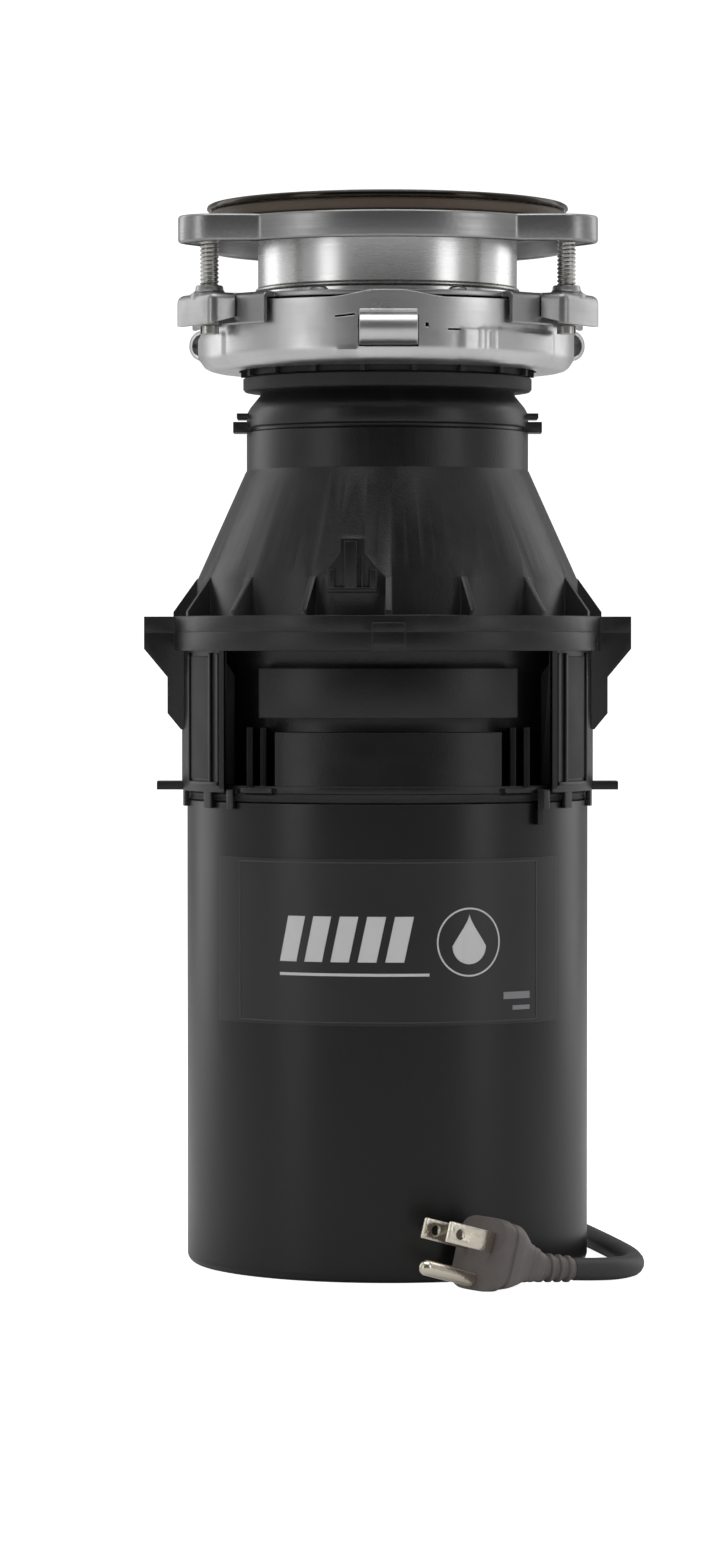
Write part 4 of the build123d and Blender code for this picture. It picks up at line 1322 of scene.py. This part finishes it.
    def sink_flange(self) -> None:
        """Polished throat with its domed rim; the rim wears a dark brown metal that paints in its
        reflections.
        """
        flange = Blank("polished_sink_flange")
        outline = (
            (39.4, 301.0), (39.4, 329.6), (39.75, 331.9), (40.7, 333.8), (42.3, 335.0), (44.3, 335.4),
            (46.2, 335.5),
            (50.5, 335.25), (54.6, 334.8), (56.2, 334.5), (56.9, 334.1), (57.15, 333.6), (57.15, 333.1),
            (56.8, 332.7), (56.2, 332.6), (46.0, 332.6), (43.4, 332.0), (41.6, 330.2), (41.0, 327.8),
            (41.0, 308.2), (40.2, 308.2), (40.2, 306.6), (41.0, 306.6), (41.0, 301.4), (40.6, 301.0),
        )
        flange.turn(outline, steps=160)
        piece = flange.dress(POLISHED, "housing", "polished_steel", "sink_flange")
        # The domed rim's faces take the dark brown painted reflection.
        piece.data.materials.append(RIM_PAINTED_REFLECTION.material())
        for face in piece.data.polygons:
            reach = math.hypot(face.center.x, face.center.y)
            face.material_index = int(reach > 0.0555 and face.center.z > 0.3322)

    def fibre_gasket(self) -> None:
        """Thick brown fibre washer under the rim, with slightly crushed edges."""
        washer = Blank("brown_fibre_washer")
        washer.turn(((46.5, 328.8), (55.4, 328.65), (56.1, 329.2), (56.2, 330.6), (56.1, 331.9),
                     (55.5, 332.45), (46.5, 332.4)), steps=120)
        washer.dress(FIBRE, "clamp", "fiber", "fiber_gasket")

    def snap_ring(self) -> None:
        """Round spring wire sprung into the throat's groove, with its gap at the back."""
        ring = Blank("spring_wire_ring")
        section = bmesh.ops.create_circle(ring.mesh, cap_ends=True, radius=0.68, segments=12)["verts"]
        ring.move(section, Matrix.Translation((41.15, 0, 307.4)) @ Matrix.Rotation(math.pi / 2, 4, "X"))
        ring.move(section, spoke(98))
        bmesh.ops.spin(ring.mesh, geom=ring.mesh.verts[:] + ring.mesh.edges[:] + ring.mesh.faces[:],
                       cent=(0, 0, 0), axis=(0, 0, 1), dvec=(0, 0, 0), angle=math.radians(344), steps=120,
                       use_merge=False, use_duplicate=False)
        ring.dress(ZINC, "housing", "plated_steel", "snap_ring")


# ---------------------------------------------------------------- containers


@dataclass
class DrainContainer:
    """The drain chamber in its moulded cage, with rails and textured pockets on the cage's columns.

    Attributes:
        edge: Radius of the moulding's corners.
        cage_radius: Outer radius of the cage.
        rails: Angles of the column rails from the front, in degrees.
        rail_width: Width of a rail.
        rail_height: How far a rail stands proud.
        rail_span: Lowest and highest point of the rails.
    """

    edge: float = 0.55
    cage_radius: float = 65.2
    rails: tuple[float, ...] = (53.6, 57.5, 71.5)
    rail_width: float = 1.3
    rail_height: float = 0.8
    rail_span: tuple[float, float] = (153.0, 193.0)

    def build(self) -> None:
        """Round the moulding's corners and finish its columns."""
        moulding = copy_of("lower_container", "moulded_drain_container")
        moulding.soften(self.edge, segments=2, sharper_than=35)
        moulding.dress(CHAMBER, "housing", "black_plastic", "lower_container", recalc=False)
        self.column_rails()
        self.pockets()

    def column_rails(self) -> None:
        """Upright rails on both columns, joined by a sill at their feet."""
        rails = Blank("cage_column_rails")
        low, high = self.rail_span
        for side in Side:
            for angle in self.rails:
                middle = math.radians(side.value * angle) * self.cage_radius
                self.strip(rails, middle - self.rail_width / 2, middle + self.rail_width / 2, low, high)
            ends = sorted(math.radians(side.value * angle) * self.cage_radius for angle in self.rails)
            self.strip(rails, ends[0], ends[-1], low - 1.2, low)
        rails.soften(0.25, sharper_than=50)
        self.bend(rails)
        rails.dress(CHAMBER, "housing", "black_plastic")

    def strip(self, blank: Blank, left: float, right: float, low: float, high: float,
              proud: float | None = None) -> None:
        """Lay a flat strip, cut finely enough to bend.

        Args:
            blank: The blank to add it to.
            left: Left end along the girth.
            right: Right end along the girth.
            low: Lower end.
            high: Upper end.
            proud: How far it stands out, or None for a rail's height.
        """
        out = -(self.rail_height if proud is None else proud)
        pieces = max(1, round((right - left) / 3))
        corners = [(left + (right - left) * step / pieces, 0.2) for step in range(pieces + 1)]
        front = [(along, out) for along, _ in reversed(corners)]
        blank.press(corners + front, low, high)

    def bend(self, blank: Blank) -> None:
        """Wrap strips round the cage's columns."""
        wrap(blank.mesh.verts, self.cage_radius, 270.0)

    def pockets(self) -> None:
        """Dull textured pockets between the rails."""
        pockets = Blank("cage_column_pockets")
        low, high = self.rail_span
        for side in Side:
            ends = sorted(math.radians(side.value * angle) * self.cage_radius for angle in self.rails[1:])
            self.strip(pockets, ends[0] + 1.0, ends[1] - 1.0, low + 1.0, high - 1.0, proud=0.12)
        self.bend(pockets)
        pockets.dress(RUBBER, "housing", "black_plastic")


@dataclass
class HopperContainer:
    """The cone-shaped hopper with the catch on its front.

    Attributes:
        edge: Radius of the moulding's corners.
        catch_x: Middle of the catch.
        catch_face: Front face of the catch.
    """

    edge: float = 0.5
    catch_x: float = -11.0
    catch_face: float = -62.0

    def build(self) -> None:
        """Round the moulding's corners and finish the catch."""
        moulding = copy_of("upper_container", "moulded_hopper")
        moulding.soften(self.edge, segments=2, sharper_than=35)
        moulding.dress(MOULDED, "housing", "black_plastic", "upper_container", recalc=False)
        self.catch()

    def catch(self) -> None:
        """Tongue, side cheeks and foot of the catch."""
        catch = Blank("hopper_catch")
        x, face = self.catch_x, self.catch_face
        for left, right, proud, low, high in (
            (-2.6, 1.4, 1.3, 212.6, 227.2), (-7.2, -5.4, 0.9, 212.2, 218.6), (5.2, 7.2, 0.9, 212.2, 218.6),
            (-7.3, 7.3, 1.6, 211.6, 213.0), (2.6, 3.4, 0.9, 213.0, 222.4),
        ):
            corners = ((x + left, face + 0.4), (x + right, face + 0.4), (x + right, face - proud),
                       (x + left, face - proud))
            catch.press(corners, low, high)
        catch.soften(0.3, segments=2, sharper_than=50)
        catch.dress(MOULDED, "housing", "black_plastic")
        # A thin matte black sheet on the catch's face stands in for its slot: painted shade where the recess
        # would be.
        slot = Blank("hopper_catch_slot_shade")
        corners = ((x + 1.6, face + 0.2), (x + 5.0, face + 0.2), (x + 5.0, face - 0.12),
                   (x + 1.6, face - 0.12))
        slot.press(corners, 213.2, 221.0)
        slot.dress(RUBBER, "housing", "black_plastic")


# ---------------------------------------------------------------- assembly


def dress_frame() -> None:
    """Give every node of the frame its finish."""
    for name, node in FRAME["nodes"].items():
        node.data.materials.clear()
        node.data.materials.append(CAD_FINISHES[name].material())


def main() -> None:
    """Build the studio and the disposal."""
    logging.basicConfig(level=logging.INFO, format="%(name)s: %(message)s")
    FRAME.update(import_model())
    Studio().build()
    dress_frame()
    CordSet().build()
    MotorSection().build()
    DrainContainer().build()
    HopperContainer().build()
    SinkMount().build()


if __name__ == "__main__":
    main()
